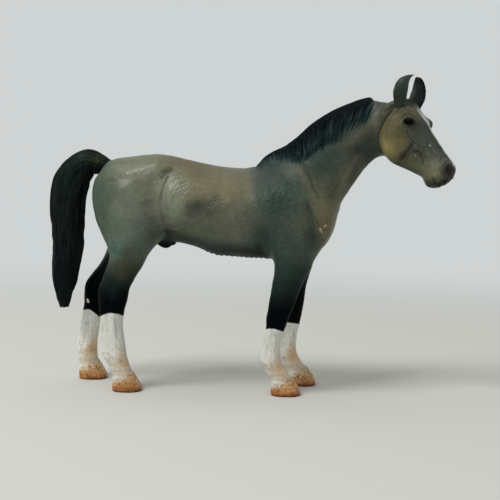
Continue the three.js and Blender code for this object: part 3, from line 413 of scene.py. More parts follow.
sheath_table = smooth_rows(sheath_shares)
dip = math.radians(12)
sheath_field = loft(np.array([trunk_x(0.23), 0, trunk_z(-0.35)]),
                    np.array([math.cos(dip), 0, -math.sin(dip)]),
                    np.array([math.sin(dip), 0, math.cos(dip)]), LEFT, SHEATH_SIZE * 3.2,
                    lambda share: [v * SHEATH_SIZE for v in sheath_table(share)],
                    SHEATH_SIZE, SHEATH_SIZE * 0.8, box=([-44, -8, 44], [-18, 8, 62]))


def whole_field(p):
    d = blend(trunk_field(p), neck_field(p), NECK_BLEND)
    for leg in legs.values():
        d = blend(d, leg["limb"](p), LIMB_BLEND)
    d = blend(d, sheath_field(p), SHEATH_SIZE / 2)
    sideways = np.minimum(np.abs(p[:, 1]) / (TRUNK_WIDTH * 0.3), 1)
    trunk = (p[:, 2] > 40) & (p[:, 0] < 42)
    if trunk.any():
        lift = sum(stroke(p[trunk, 0], p[trunk, 2], *row) for row in trunk_strokes)
        d[trunk] -= lift * sideways[trunk] ** 2
    d = blend(d, head_field(p), HEAD_BLEND)
    for leg in legs.values():
        d = blend(d, leg["hoof"](p), HOOF_BLEND)
    return np.maximum(d, -p[:, 2])


# The skin: a point in every fine cell that the surface crosses

def split_cells(cells, times):
    steps = np.stack(np.meshgrid(*[np.arange(times)] * 3, indexing="ij"), -1).reshape(-1, 3)
    return (cells[:, None, :] * times + steps[None]).reshape(-1, 3)


def near_cells(cells, low, cell, reach):
    centre = low + (cells + 0.5) * cell
    return cells[np.abs(whole_field(centre)) < reach]


def skin():
    low, count = SKIN_CORNER, SKIN_CELLS
    grid = np.stack(np.meshgrid(*[np.arange(c) for c in count], indexing="ij"), -1).reshape(-1, 3)
    cells = near_cells(grid, low, COARSE, COARSE * 1.25)
    cells = near_cells(split_cells(cells, round(COARSE / MIDDLE)), low, MIDDLE, MIDDLE * 1.5)
    cells = split_cells(cells, round(MIDDLE / FINE))
    nx, ny = (count * round(COARSE / FINE) + 1)[:2]

    def number(c):
        return (c[..., 2] * ny + c[..., 1]) * nx + c[..., 0]

    corners = np.array([[c & 1, c >> 1 & 1, c >> 2 & 1] for c in range(8)])
    ids = number(cells[:, None, :] + corners[None])
    unique, where = np.unique(ids, return_inverse=True)
    spot = np.stack([unique % nx, unique // nx % ny, unique // (nx * ny)], -1)
    values = whole_field(low + spot * FINE)[where.reshape(ids.shape)]
    inside = values < 0
    mixed = inside.any(1) & ~inside.all(1)
    cells, values, inside, ids = cells[mixed], values[mixed], inside[mixed], ids[mixed]
    total, crossings = np.zeros((len(cells), 3)), np.zeros(len(cells))
    for m in range(8):
        for n in range(m + 1, 8):
            if bin(m ^ n).count("1") != 1:
                continue
            cut = inside[:, m] != inside[:, n]
            t = values[cut, m] / (values[cut, m] - values[cut, n])
            total[cut] += corners[m] + t[:, None] * (corners[n] - corners[m])
            crossings[cut] += 1
    points = low + (cells + total / crossings[:, None]) * FINE
    own = number(cells)
    order = np.argsort(own)
    ranked = own[order]
    quads = []
    for axis in range(3):
        m = 1 << axis
        cut = inside[:, 0] != inside[:, m]
        base = cells[cut]
        u, v = np.eye(3, dtype=int)[(axis + 1) % 3], np.eye(3, dtype=int)[(axis + 2) % 3]
        ring = []
        found = np.ones(len(base), bool)
        for a, b in ((0, 0), (1, 0), (1, 1), (0, 1)):
            wanted = number(base - a * u - b * v)
            place = np.minimum(np.searchsorted(ranked, wanted), len(ranked) - 1)
            found &= ranked[place] == wanted
            ring.append(order[place])
        ring = np.stack(ring, 1)
        flip = ~inside[cut, 0]
        ring[flip] = ring[flip][:, ::-1]
        quads.append(ring[found])
    return points, np.vstack(quads)


def engraved(p):
    return (np.abs(p[:, 1]) > 6) & (fur_amount(p) > 0.5)


def hooves_near(p):
    return (p[:, 2] < 10) | ((p[:, 2] > 22) & (p[:, 2] < 31))


def refine(points, quads, chosen):
    """Splits the chosen quads in four. Their neighbours get fans that meet the new points."""
    count = len(points)

    def keys(faces):
        pair = np.sort(np.stack([faces, np.roll(faces, -1, axis=1)], -1), -1)
        return pair[..., 0] * count + pair[..., 1]
    split = np.unique(keys(quads[chosen]))
    middles = (points[split // count] + points[split % count]) / 2
    key = keys(quads)
    place = np.minimum(np.searchsorted(split, key), len(split) - 1)
    has = split[place] == key
    middle = count + place
    touched = has.any(1)
    centre = np.full(len(quads), -1)
    centre[touched] = count + len(split) + np.arange(touched.sum())
    centres = points[quads[touched]].mean(1)
    new = [quads[~touched]]
    for c in range(4):
        q, m, before = quads[chosen], middle[chosen], middle[chosen][:, c - 1]
        new.append(np.stack([q[:, c], m[:, c], centre[chosen], before], 1))
        edge = touched & ~chosen
        whole, cut = edge & ~has[:, c], edge & has[:, c]
        here, after = quads[:, c], quads[:, (c + 1) % 4]
        new.append(np.stack([here, after, centre, centre], 1)[whole])
        new.append(np.stack([here, middle[:, c], centre, centre], 1)[cut])
        new.append(np.stack([middle[:, c], after, centre, centre], 1)[cut])
    return np.vstack([points, middles, centres]), np.vstack(new)


def gradient(p, small=0.05):
    value = whole_field(np.vstack([p + small * axis for axis in (FORWARD, LEFT, UP)]
                                  + [p - small * axis for axis in (FORWARD, LEFT, UP)]))
    value = value.reshape(6, -1)
    return (value[:3] - value[3:]).T / (2 * small), value.mean(0)


def pull(p, n):
    steepness, value = gradient(p)
    slope = (steepness * n).sum(1)
    step = value / np.maximum(slope, 0.5)
    return p - n * np.clip(step, -FINE / 2, FINE / 2)[:, None]


def neighbours(quads, count, values):
    out, weight = np.zeros((count, values.shape[1])), np.zeros(count)
    for a, b in ((0, 1), (1, 2), (2, 3), (3, 0)):
        for m, n in ((a, b), (b, a)):
            for c in range(values.shape[1]):
                out[:, c] += np.bincount(quads[:, m], values[quads[:, n], c], count)
            weight += np.bincount(quads[:, m], minlength=count)
    return out / np.maximum(weight, 1)[:, None]


def even_out(points, quads, held, rounds):
    """Moves the held points to the middle of their neighbours, again and again."""
    near = quads[(held[quads] > 0.01).any(1)]
    used, small = np.unique(near, return_inverse=True)
    small = small.reshape(near.shape)
    spots, amount = points[used], held[used][:, None]
    for _ in range(rounds):
        spots = spots + (neighbours(small, len(used), spots) - spots) * amount * 0.8
    points[used] = np.where(amount > 0.01, spots, points[used])


def face_normals(points, quads):
    n = np.cross(points[quads[:, 2]] - points[quads[:, 0]], points[quads[:, 3]] - points[quads[:, 1]])
    out = np.zeros_like(points)
    for corner in range(4):
        for c in range(3):
            out[:, c] += np.bincount(quads[:, corner], n[:, c], len(points))
    return out / np.maximum(np.linalg.norm(out, axis=1), 1e-9)[:, None]


# Relief that is too fine for the solids

def crest_line():
    share = np.linspace(0, 1, 50)
    back = neck_origin[0] + share * NECK_LENGTH * neck_along[0] - 0.5 * NECK_DEPTH * neck_along[2]
    x = np.arange(-6.0, 48.0)
    y = np.interp(x, back, -neck_table(share)[4] * NECK_BEND)
    z = np.arange(112.0, 70.0, -0.2)
    grid = np.stack([np.repeat(x, len(z)), np.repeat(y, len(z)), np.tile(z, len(x))], 1)
    inside = whole_field(grid).reshape(len(x), len(z)) < 0
    return np.stack([x, y, z[inside.argmax(1)]], 1)


crest = crest_line()

# Mane: how far its locks fall below the crest, by place along the horse
mane_places = [1, 2, 5, 8, 12, 16, 20, 23, 25, 27, 30, 33, 36, 38, 40, 41.5, 42.4, 42.9]
mane_drops = [-1, 0.6, 1.4, 2.4, 5.2, 8.6, 11.2, 11.4, 10.4, 9.4, 10, 8.6, 7.8, 6.8, 5.4, 3.2, 1, -1]


def mane_depth(p):
    top = np.interp(p[:, 0], crest[:, 0], crest[:, 2])
    drop = top - p[:, 2]
    lean = p[:, 0] - 0.16 * drop + 0.7 * noise(p, 5.0, 3)
    sweep = p[:, 0] + (p[:, 0] - 17) * 0.018 * drop + 0.7 * noise(p, 4.0, 3)
    lock = sweep / 2.3 + 0.30 * np.sin(sweep * 0.9) + 0.30 * np.sin(sweep * 2.3 + 1)
    part = lock - np.floor(lock)
    ragged = 1 - np.abs(2 * part - 1) ** 1.5
    fall = np.interp(lean, mane_places, mane_drops)
    own = hashed(np.floor(lock).astype(np.int64), 0, 0, 5)
    low = smooth(0.5, 3.0, drop)
    edge = fall * (0.95 + low * (0.10 * ragged + 0.14 * own - 0.10))
    edge += low * (0.45 * noise(np.stack([sweep, sweep, sweep], 1), 0.7, 6) + 0.9 * noise(p, 4.0, 8))
    near = p[:, 1] < np.interp(p[:, 0], crest[:, 0], crest[:, 1]) + 1.3
    zone = near & (p[:, 0] > 0) & (p[:, 0] < 44) & (p[:, 2] > 76) & (drop > -3)
    drop = np.maximum(drop, 0)
    inside = np.where(zone, edge - drop, -5.0)
    return inside, sweep, part, drop


# Lines along the forms of trunk and neck: places, reach and lift
polylines = [
    # flank fold and its dark hollow
    ([(-28.0, 75.6), (-29.3, 72.4), (-30.1, 68.2), (-30.1, 64.0), (-29.2, 60)], 0.34, -0.42),
    ([(-29.4, 77.4), (-27.2, 78.5)], 0.8, -0.80),
    ([(-26.0, 74.5), (-26.2, 70)], 2.6, 0.55),
    ([(-26.6, 70), (-26.4, 62)], 2.4, 0.35),
    ([(-26.6, 75.6), (-24.8, 75.2), (-23.6, 73.6)], 0.35, 0.16),
    ([(-25.2, 74.2), (-23.6, 72.4), (-22.6, 70.0)], 0.35, 0.14),
    # stifle folds over the sheath
    ([(-29.5, 59), (-25, 58.6), (-21, 60)], 0.5, -0.22),
    ([(-30.5, 57), (-26, 56.6), (-21.5, 57.8)], 0.5, -0.22),
    # rump muscles
    ([(-43.5, 76), (-38, 77.9), (-32.8, 80)], 0.9, 0.38),
    ([(-40.5, 70), (-38, 62), (-36, 56)], 3.0, -0.15),
    ([(-47, 52), (-44, 50)], 2.0, 0.20),
    # barrel hollow and the skin fold across it
    ([(-16.5, 65.6), (-13.7, 66.9), (-11, 68.2)], 2.2, -0.50),
    ([(-23.4, 58.8), (-20, 59.7), (-16.5, 61.6), (-13, 64.0), (-11.0, 65.6)], 0.32, 0.15),
    ([(-47.4, 51.5), (-48.2, 48.5), (-48.9, 45)], 0.35, 0.25),
    # shoulder blade, point of the shoulder and elbow
    ([(14.0, 84.6), (16.6, 82.8), (19.6, 79.2), (21.4, 76.2), (22.6, 72.7), (24.5, 69.5)], 0.6, -0.42),
    ([(12.0, 81), (15.0, 79.0), (18.0, 74.5), (19.8, 69.5), (22.6, 66.2), (26.2, 61.6)], 2.4, 0.32),
    ([(20.6, 67.4), (22.6, 63.4), (24.6, 60.2)], 0.8, -0.40),
    ([(21.5, 66), (22.6, 60), (23.4, 55)], 1.3, -0.45),
    ([(3.6, 75), (5.6, 66), (7.0, 58), (8.2, 52)], 2.4, -0.18),
    ([(8.6, 58), (9.2, 52), (9.4, 47)], 0.8, 0.45),
    ([(4, 57), (6.5, 54)], 1.8, -0.4),
    # jugular groove, throat and neck muscles
    ([(28.2, 70), (31.6, 76), (35.0, 82), (38, 86)], 0.9, -0.42),
    ([(26, 72), (29.5, 79), (33, 85)], 2.0, 0.35),
    ([(22, 90), (28, 88), (34, 91), (40, 96)], 1.8, -0.30),
    ([(30, 93.5), (36, 96)], 1.6, 0.25),
    # chest parting line and pectoral fold
    ([(29.2, 57.5), (27.5, 54.6), (24.5, 52), (21.4, 49.4)], 0.35, 0.30),
]


def polyline(x, z, points, reach, lift):
    best = np.full(len(x), 1e9)
    for (x1, z1), (x2, z2) in zip(points, points[1:]):
        dx, dz = x2 - x1, z2 - z1
        t = np.clip(((x - x1) * dx + (z - z1) * dz) / (dx * dx + dz * dz), 0, 1)
        best = np.minimum(best, (x - x1 - t * dx) ** 2 + (z - z1 - t * dz) ** 2)
    return lift * np.exp(-best / (reach * reach))


def fur(p, x_dir, size, seed):
    side = np.cross(x_dir, LEFT)
    q = np.stack([p @ x_dir / (size * 4.5), p[:, 1] / (size * 3), p @ side / size], 1)
    return noise(q, 1.0, seed)


# Where the coat is engraved with strokes of hair: place, reach and depth
fur_patches = [
    (-24.5, 71, 5, 7, 1.4), (-38, 77.6, 7, 2.4, 1.2), (-13, 67, 7, 5, 0.9), (-18, 60, 8, 6, 0.5),
    (0, 58, 8, 9, 0.8), (10, 68, 9, 12, 1.0), (16, 56, 8, 8, 0.8), (-46, 74, 6, 8, 0.4),
    (26, 78, 8, 8, 0.35), (-40, 60, 10, 12, 0.35), (-44, 48, 8, 8, 0.4), (0, 74, 10, 6, 0.4),
]
# Swellings of the legs: lift, height and reach, place across the leg and reach, outside only
leg_swells = [(0.25, 11.5, 1.8, -0.2, 0.5, True), (-0.25, 9.0, 0.9, -0.7, 0.4, False)]
fore_swells = [
    (0.30, 28.5, 2.4, 0.35, 0.5, True), (-0.25, 24.6, 0.9, 0, math.inf, True),
    (-0.2, 32.0, 0.9, 0, math.inf, True), (0.30, 27, 1.6, -0.85, 0.3, False),
]
hind_swells = [
    (0.35, 31.5, 2.2, -0.45, 0.35, True), (-0.30, 34, 5.0, -0.10, 0.22, True),
    (0.25, 27.5, 1.8, 0.35, 0.4, True),
]


def fur_amount(p):
    amount = np.full(len(p), 0.25)
    for cx, cz, rx, rz, power in fur_patches:
        amount = np.maximum(amount, power * bell(p[:, 0], cx, rx, p[:, 2], cz, rz))
    return amount


# Tendons, joints and the rings of the hoof
def leg_relief(p, n, name):
    x, z = p[:, 0], p[:, 2]
    front, back = legs[name]["table"](np.maximum(z / LEG_HEIGHT, 0.05))[:2]
    middle = legs[name]["hip"] + (front + back) / 2 * LIMB_DEPTH
    u = (x - middle) / np.maximum((front - back) / 2 * LIMB_DEPTH, 1)
    outer = smooth(0.3, 0.8, np.abs(n[:, 1]))
    tendons = (0.22 * bell(u, 0.35, 0.25) - 0.32 * bell(u, -0.18, 0.16)) * outer
    out = tendons * smooth(9.5, 13, z) * smooth(30, 26, z)
    out += 0.035 * np.sin(z * 4.2) * (z < 7) * (z > 0.6)
    swells = leg_swells + (fore_swells if "fore" in name else hind_swells)
    for lift, height, tall, place, wide, outside in swells:
        out += lift * bell(z, height, tall, u, place, wide) * (outer if outside else 1)
    return out + 0.05 * noise(p, 1.6, 31)


def relief(p, n):
    x, y, z = p.T
    out = np.zeros(len(p))
    head = on_head_part(p)
    sideways = smooth(0.25, 0.75, np.abs(n[:, 1]))
    trunk = sideways * ((z > 44) & (x < 46) & ~head)
    for line, reach, lift in polylines:
        out += polyline(x, z, line, reach, lift) * trunk
    # ribs
    ribs = np.sin((x + (z - 60) * 0.35) * 2 * math.pi / 4.6) * 0.10
    out += ribs * bell(x, -4, 10, z, 63, 8) * sideways
    # hair strokes
    strands = 0.7 * fur(p, unit([-0.86, 0, -0.5]), 0.34, 11)
    strands += 0.5 * fur(p, unit([-0.5, 0, -0.86]), 0.55, 12)
    out -= fur_amount(p) * trunk * 0.14 * smooth(-0.1, 0.4, strands)
    # bare crest behind the ears
    out += 0.75 * bell(x, 48, 3.2, z, 101, 4) * smooth(0.3, 0.8, n[:, 2])
    # hair fringe along the belly
    fringe = smooth(-0.35, -0.8, n[:, 2]) * smooth(-19, -14, x) * smooth(11, 8, x) * (z < 52)
    tufts = 0.4 + 0.35 * np.sin(x * 3.6 + 3.0 * noise(p, 2.5, 21)) + 0.45 * noise(p, 0.9, 22)
    out += fringe * bell(y, 0, 3.2) * tufts * 0.42
    # sheath and the folds beside it
    wedge = np.maximum(54.0 - (x + 31.4) * 0.63, 51.5 + (x + 27.6) * 0.9)
    at_sheath = smooth(0.6, -0.3, sheath_field(p)) * smooth(57.5, 55, z)
    out += at_sheath * (0.35 - 0.8 * np.clip(wedge - z, 0, 1.2))
    # mane
    inside, sweep, part, drop = mane_depth(p)
    hair = smooth(-0.2, 2.6, inside) * 0.86 + smooth(-0.2, 0.6, inside) * 0.14
    sway = sweep + 0.5 * noise(p * [1, 1, 0.5], 3.0, 7)
    column = np.stack([sway, y * 0.3, drop * 0.16], 1)
    grooves = 0.20 * np.abs(2 * part - 1) ** 5 * (0.5 + 0.5 * noise(column, 2.0, 9))
    grooves += 0.15 * smooth(0.0, 0.8, noise(column, 0.62, 10))
    grooves += 0.12 * smooth(0.0, 0.8, noise(column, 0.34, 13))
    out += hair * (0.85 - grooves * smooth(-0.2, 1.0, inside) * smooth(0.4, 3.2, drop) * 2.0)
    for name in legs:
        mine = on_leg(p, name) & (z < 47)
        out[mine] += leg_relief(p[mine], n[mine], name)
    out[head] += head_relief(p[head], n[head])
    out += 0.035 * noise(p, 1.1, 41) + 0.05 * noise(p, 3.0, 42)
    return np.where(z < 0.3, 0, out)


head_seam = on_neck(0.845, NECK_DEPTH * 0.08, -NECK_BEND * 0.65)
head_seam_normal = unit([1, -0.12, 0.16])


def on_head_part(p):
    return (p - head_seam) @ head_seam_normal > 0


# Lines on the head in shares of its length and depth, with reach and lift in millimetres
head_lines = [
    # edge of the cheek against the neck: a groove and a crisp lip
    ([(0.085, 0.17), (0.125, 0.02), (0.15, -0.10), (0.185, -0.24), (0.22, -0.36), (0.27, -0.46),
      (0.33, -0.52), (0.42, -0.56)], 0.30, -0.30),
    ([(0.115, 0.16), (0.155, 0.02), (0.18, -0.09), (0.215, -0.22), (0.25, -0.33), (0.30, -0.43)],
     0.50, 0.34),
    # facial crest, groove under the eye and cheek crease
    ([(0.525, 0.09), (0.592, 0.164), (0.617, 0.25)], 0.55, 0.22),
    ([(0.389, 0.092), (0.449, 0.048), (0.503, 0.059), (0.533, 0.071)], 0.42, -0.42),
    ([(0.557, -0.27), (0.543, -0.169), (0.52, 0.01)], 0.60, -0.45),
    # round muscle ring of the cheek
    ([(0.60, -0.25), (0.587, -0.204), (0.555, -0.123), (0.554, -0.04), (0.584, 0.043)], 0.40, 0.34),
    ([(0.584, 0.043), (0.622, 0.091), (0.686, 0.086)], 0.40, 0.24),
    ([(0.609, 0.02), (0.640, 0.045), (0.709, 0.02), (0.73, -0.03)], 0.40, -0.34),
    ([(0.615, -0.01), (0.645, -0.08)], 0.55, 0.28),
    # hollow over the eye and folds of the lids
    ([(0.16, 0.06), (0.186, 0.16)], 0.9, -0.45),
    ([(0.235, 0.13), (0.240, 0.204), (0.256, 0.281), (0.291, 0.321)], 0.40, 0.30),
    ([(0.308, 0.085), (0.358, 0.095), (0.392, 0.165), (0.382, 0.25)], 0.38, -0.26),
    # veins and bone of the nose
    ([(0.60, 0.24), (0.72, 0.22), (0.80, 0.24)], 0.6, -0.25),
    ([(0.70, 0.14), (0.78, 0.10), (0.84, 0.06)], 0.7, 0.18),
    # nostril's lip
    ([(0.835, 0.315), (0.872, 0.225), (0.913, 0.19), (0.955, 0.175)], 0.42, 0.46),
    ([(0.80, 0.28), (0.835, 0.19), (0.88, 0.14)], 0.5, -0.24),
    # lips
    ([(0.915, 0.0), (0.955, -0.03), (0.99, -0.012), (1.03, 0.01)], 0.30, -0.55),
    ([(0.90, 0.04), (0.94, 0.03), (0.985, 0.035)], 0.5, 0.26),
    ([(0.90, -0.06), (0.94, -0.085)], 0.5, 0.25),
]
# Lines that are also painted: the cheek's edge, the creases under the eye and the mouth. The dark paint
# in the creases and along the cheek's edge is a wash that also paints their shade.
jowl, mouth = head_lines[0][0], head_lines[-3][0]
creases = head_lines[:1] + head_lines[3:5] + head_lines[7:8]
jowl_rise = [z for _, z in reversed(jowl)]
jowl_place = [x for x, _ in reversed(jowl)]
glints = [(0.622, -0.03, 0.32), (0.62, 0.243, 0.42)]
EYE = (0.328, 0.205)
EYE_TILT, EYE_HALF_LENGTH, EYE_HALF_HEIGHT = -50, 1.62, 1.0
NOSTRIL = (0.932, 0.285)
NOSTRIL_TILT, NOSTRIL_HALF_LENGTH, NOSTRIL_HALF_WIDTH = 24, 2.3, 1.0


def tilted(x, z, degrees):
    angle = math.radians(degrees)
    return x * math.cos(angle) - z * math.sin(angle), x * math.sin(angle) + z * math.cos(angle)


# Place round the eye and round the nostril, 1 on the rim
def eye_ring(a, u):
    x, z = tilted((a - EYE[0]) * HEAD_LENGTH, (u - EYE[1]) * HEAD_DEPTH, EYE_TILT)
    z = z + 0.12 * (x / EYE_HALF_LENGTH) ** 2
    return np.hypot(x / EYE_HALF_LENGTH, z / EYE_HALF_HEIGHT), z


def nostril_ring(a, u):
    x, z = tilted((a - NOSTRIL[0]) * HEAD_LENGTH, (u - NOSTRIL[1]) * HEAD_DEPTH, NOSTRIL_TILT)
    return np.hypot(x / NOSTRIL_HALF_LENGTH, (z + 0.12 * x) / NOSTRIL_HALF_WIDTH)


def head_line(a, u, line, reach, lift):
    scaled = [(x * HEAD_LENGTH, z * HEAD_DEPTH) for x, z in line]
    return polyline(a * HEAD_LENGTH, u * HEAD_DEPTH, scaled, reach, lift)


def forelock(a, u, s, full):
    return bell(a, 0.12, 0.09, s, 0, 0.24) * smooth(0.2, full, u)


def head_relief(p, n):
    a, u, s = head_coordinates(p)
    facing = smooth(0.1, 0.5, np.abs(n @ head_side))
    out = np.zeros(len(p))
    for line, reach, lift in head_lines:
        out += head_line(a, u, line, reach, lift) * facing * smooth(1.02, 0.97, a)
    ring, rise = eye_ring(a, u)
    ball = np.sqrt(np.maximum(1 - (ring / 0.97) ** 2, 0))
    lid = bell(ring, 1.22, 0.17) * (0.7 + 0.5 * smooth(-0.3, 0.8, rise))
    out += (0.62 * ball + 0.40 * lid - 0.30 * bell(ring, 1.0, 0.09)) * facing
    hole = nostril_ring(a, u)
    rim = 0.22 * bell(hole, 1.3, 0.2) - 1.25 * smooth(1.1, 0.3, hole)
    out += rim * smooth(0.1, 0.4, np.abs(s))
    orbit = bell((a - 0.355) * HEAD_LENGTH, 0, 2.3, (u - 0.33) * HEAD_DEPTH, 0, 1.7)
    out += 1.6 * orbit * smooth(0.18, 0.34, s)
    return out + forelock(a, u, s, 0.4) * (0.7 - 0.3 * np.abs(np.sin(s * 26 + a * 9)))


# Paint, in the colours of the screen from 0 to 255

def screen(colour):
    c = np.asarray(colour, float) / 255
    return np.where(c <= 0.04045, c / 12.92, ((c + 0.055) / 1.055) ** 2.4)


COAT, COAT_TONE = (114, 111, 90), np.array([0.92, 0.95, 0.97])
WASH_AND_SHADE, HEAD_WASH_AND_SHADE, SHEATH_PAINT = (26, 32, 28), (34, 36, 27), (7, 15, 17)
SOCK, HORN, HORN_DARK = (226, 227, 220), (180, 114, 60), (84, 48, 26)
# Patches of colour: place, reach, colour and strength. The dark patch in the barrel's hollow is painted
# shade, and the pale patch on the bulge of the flank is a painted highlight.
coat_patches = [
    (-40, 80, 15, 6, (129, 132, 108), 0.9), (-52, 68, 5, 13, (64, 84, 69), 1.0),
    (-40, 64, 9, 9, (122, 132, 114), 0.9), (-42, 50, 8, 5.5, (100, 128, 116), 1.0),
    (-24, 62, 4, 4, (104, 108, 92), 0.7), (-31, 69, 3.4, 5, (160, 158, 136), 1.4),
    (-35.5, 65, 4, 5, (130, 128, 110), 1.0), (-33, 60, 5, 5, (96, 96, 86), 0.8),
    (-37, 50, 4, 5, (68, 72, 58), 0.9), (-31, 52, 4, 6, (66, 70, 60), 0.9),
    (-25.5, 68, 4.5, 8, (160, 164, 142), 1.0), (-36, 72, 8, 3, (116, 114, 92), 0.7),
    (-22, 81, 9, 5, (108, 94, 62), 1.0), (-9, 73, 10, 5.5, (134, 122, 92), 0.9),
    (-15.5, 65.5, 5.5, 2.6, (64, 66, 58), 1.2), (-17, 58, 8, 6, (92, 98, 78), 0.9),
    (0, 60, 6, 8, (112, 112, 96), 0.9), (-5, 80, 12, 2.5, (116, 114, 98), 0.7),
    (-6, 51, 16, 4, (84, 102, 96), 1.2), (12, 68, 8, 13, (54, 73, 65), 1.2),
    (16, 81, 4, 3, (74, 72, 60), 0.9), (16, 60, 4, 5, (92, 94, 84), 0.8),
    (6, 52, 5, 7, (24, 44, 40), 1.2), (15, 50, 7, 6, (46, 64, 58), 1.0),
    (26.5, 66, 4, 5, (120, 112, 86), 0.9), (23, 57, 2.5, 4, (42, 54, 48), 0.9),
    (28.5, 60, 3, 5, (120, 104, 74), 1.0), (27, 73, 5, 4, (88, 92, 76), 0.8),
    (26, 84, 8, 6, (46, 63, 57), 1.2), (32.5, 78, 2.0, 4.5, (128, 126, 106), 1.1),
    (36.5, 76, 2.5, 6, (68, 68, 54), 0.8), (37, 91.5, 7, 2.4, (80, 78, 66), 0.9),
    (39.5, 87, 4, 3, (42, 54, 48), 1.3), (42.5, 90, 2.5, 2.5, (50, 56, 46), 1.3),
    (44, 101.5, 4, 2.2, (130, 130, 120), 0.9), (43, 83, 3, 4, (38, 48, 40), 1.4),
    (4.5, 73, 3.5, 8, (54, 72, 64), 0.9), (8, 80, 6, 3.4, (28, 46, 40), 1.5),
    (9.5, 70, 3.6, 6, (34, 54, 48), 1.3), (-29.5, 64, 1.6, 6, (110, 114, 98), 0.8),
    (-43, 49.8, 2.6, 2.6, (72, 112, 100), 0.8), (-40, 56, 6, 5, (90, 104, 92), 0.7),
]
# Lighter and darker strokes of paint along the forms: line, reach, colour and strength. The pale stroke
# over the rump is a painted highlight, and the dark stroke at the hip is a wash that also paints the
# shade in its pit.
coat_strokes = [
    ([(14.5, 81.5), (18, 77.5), (21.5, 71.5), (25.5, 64.5)], 1.5, (116, 112, 90), 0.45),
    ([(30.6, 75), (33.2, 79), (36.6, 83.6)], 1.1, (112, 110, 92), 0.5),
    ([(30, 87), (36, 90.6), (40, 94)], 1.3, (92, 90, 76), 0.4),
    ([(-42, 76.6), (-37.6, 78.2), (-33, 79.8)], 0.6, (176, 182, 162), 0.42),
    ([(-30.2, 75.6), (-27.0, 78.4)], 0.6, (44, 50, 46), 0.6),
    ([(-41.4, 48), (-43.4, 42)], 2.9, (76, 72, 54), 0.6),
    ([(-46.6, 52), (-45.4, 49.4)], 1.6, (62, 98, 88), 0.5),
    ([(-50.5, 41.5), (-47.4, 38), (-46.8, 34)], 1.7, (24, 40, 39), 0.5),
]
# Spots with a shine, and chips in the paint: place and reach
shine_spots = [(-37.5, 78, 6, 1.6), (-25, 72.5, 3.5, 4.5), (-43.5, 73, 3, 1.6)]
chips = [(25.2, 58.6, 0.5), (26.4, 59.7, 0.45), (25.7, 57.6, 0.35), (26.9, 60.0, 0.3)]
HOCK_CHIP_HEIGHT, HOCK_HEIGHT = 29.4, 33.4
# Top of the sock, its slope, how far its edge sinks, and the leg's colours from the top down
fore_heights, hind_heights = (50, 42, 36, 30), (50, 44, 38, 32.5)
leg_paints = {
    "right_hind_leg": (27.7, 0.1, 1.8, hind_heights,
                       [(80, 98, 88), (58, 68, 58), (26, 38, 37), (5, 10, 12)]),
    "left_hind_leg": (25.6, -0.5, 1.8, hind_heights,
                      [(40, 50, 46), (16, 22, 21), (7, 11, 12), (4, 7, 9)]),
    "right_foreleg": (23.5, -0.18, 0.9, fore_heights,
                      [(46, 62, 56), (40, 54, 49), (29, 40, 37), (5, 9, 12)]),
    "left_foreleg": (23.3, 0.0, 0.9, fore_heights,
                     [(38, 48, 44), (30, 42, 38), (16, 24, 23), (4, 8, 10)]),
}


def plain(colour, count):
    return np.tile(np.array(colour, float), (count, 1))


def toward(value, other, amount):
    return value + (other - value) * amount


def mix(colour, other, amount):
    return toward(colour, np.asarray(other, float), amount[:, None])


def patchwork(under, weight, x, z, patches, tightness=1.0):
    total, weights = under * weight, np.full(len(x), weight)
    for cx, cz, rx, rz, colour, power in patches:
        g = power * np.exp(-(((x - cx) / rx) ** 2 + ((z - cz) / rz) ** 2) * tightness)
        total = total + g[:, None] * np.array(colour, float)
        weights = weights + g
    return total / weights[:, None]
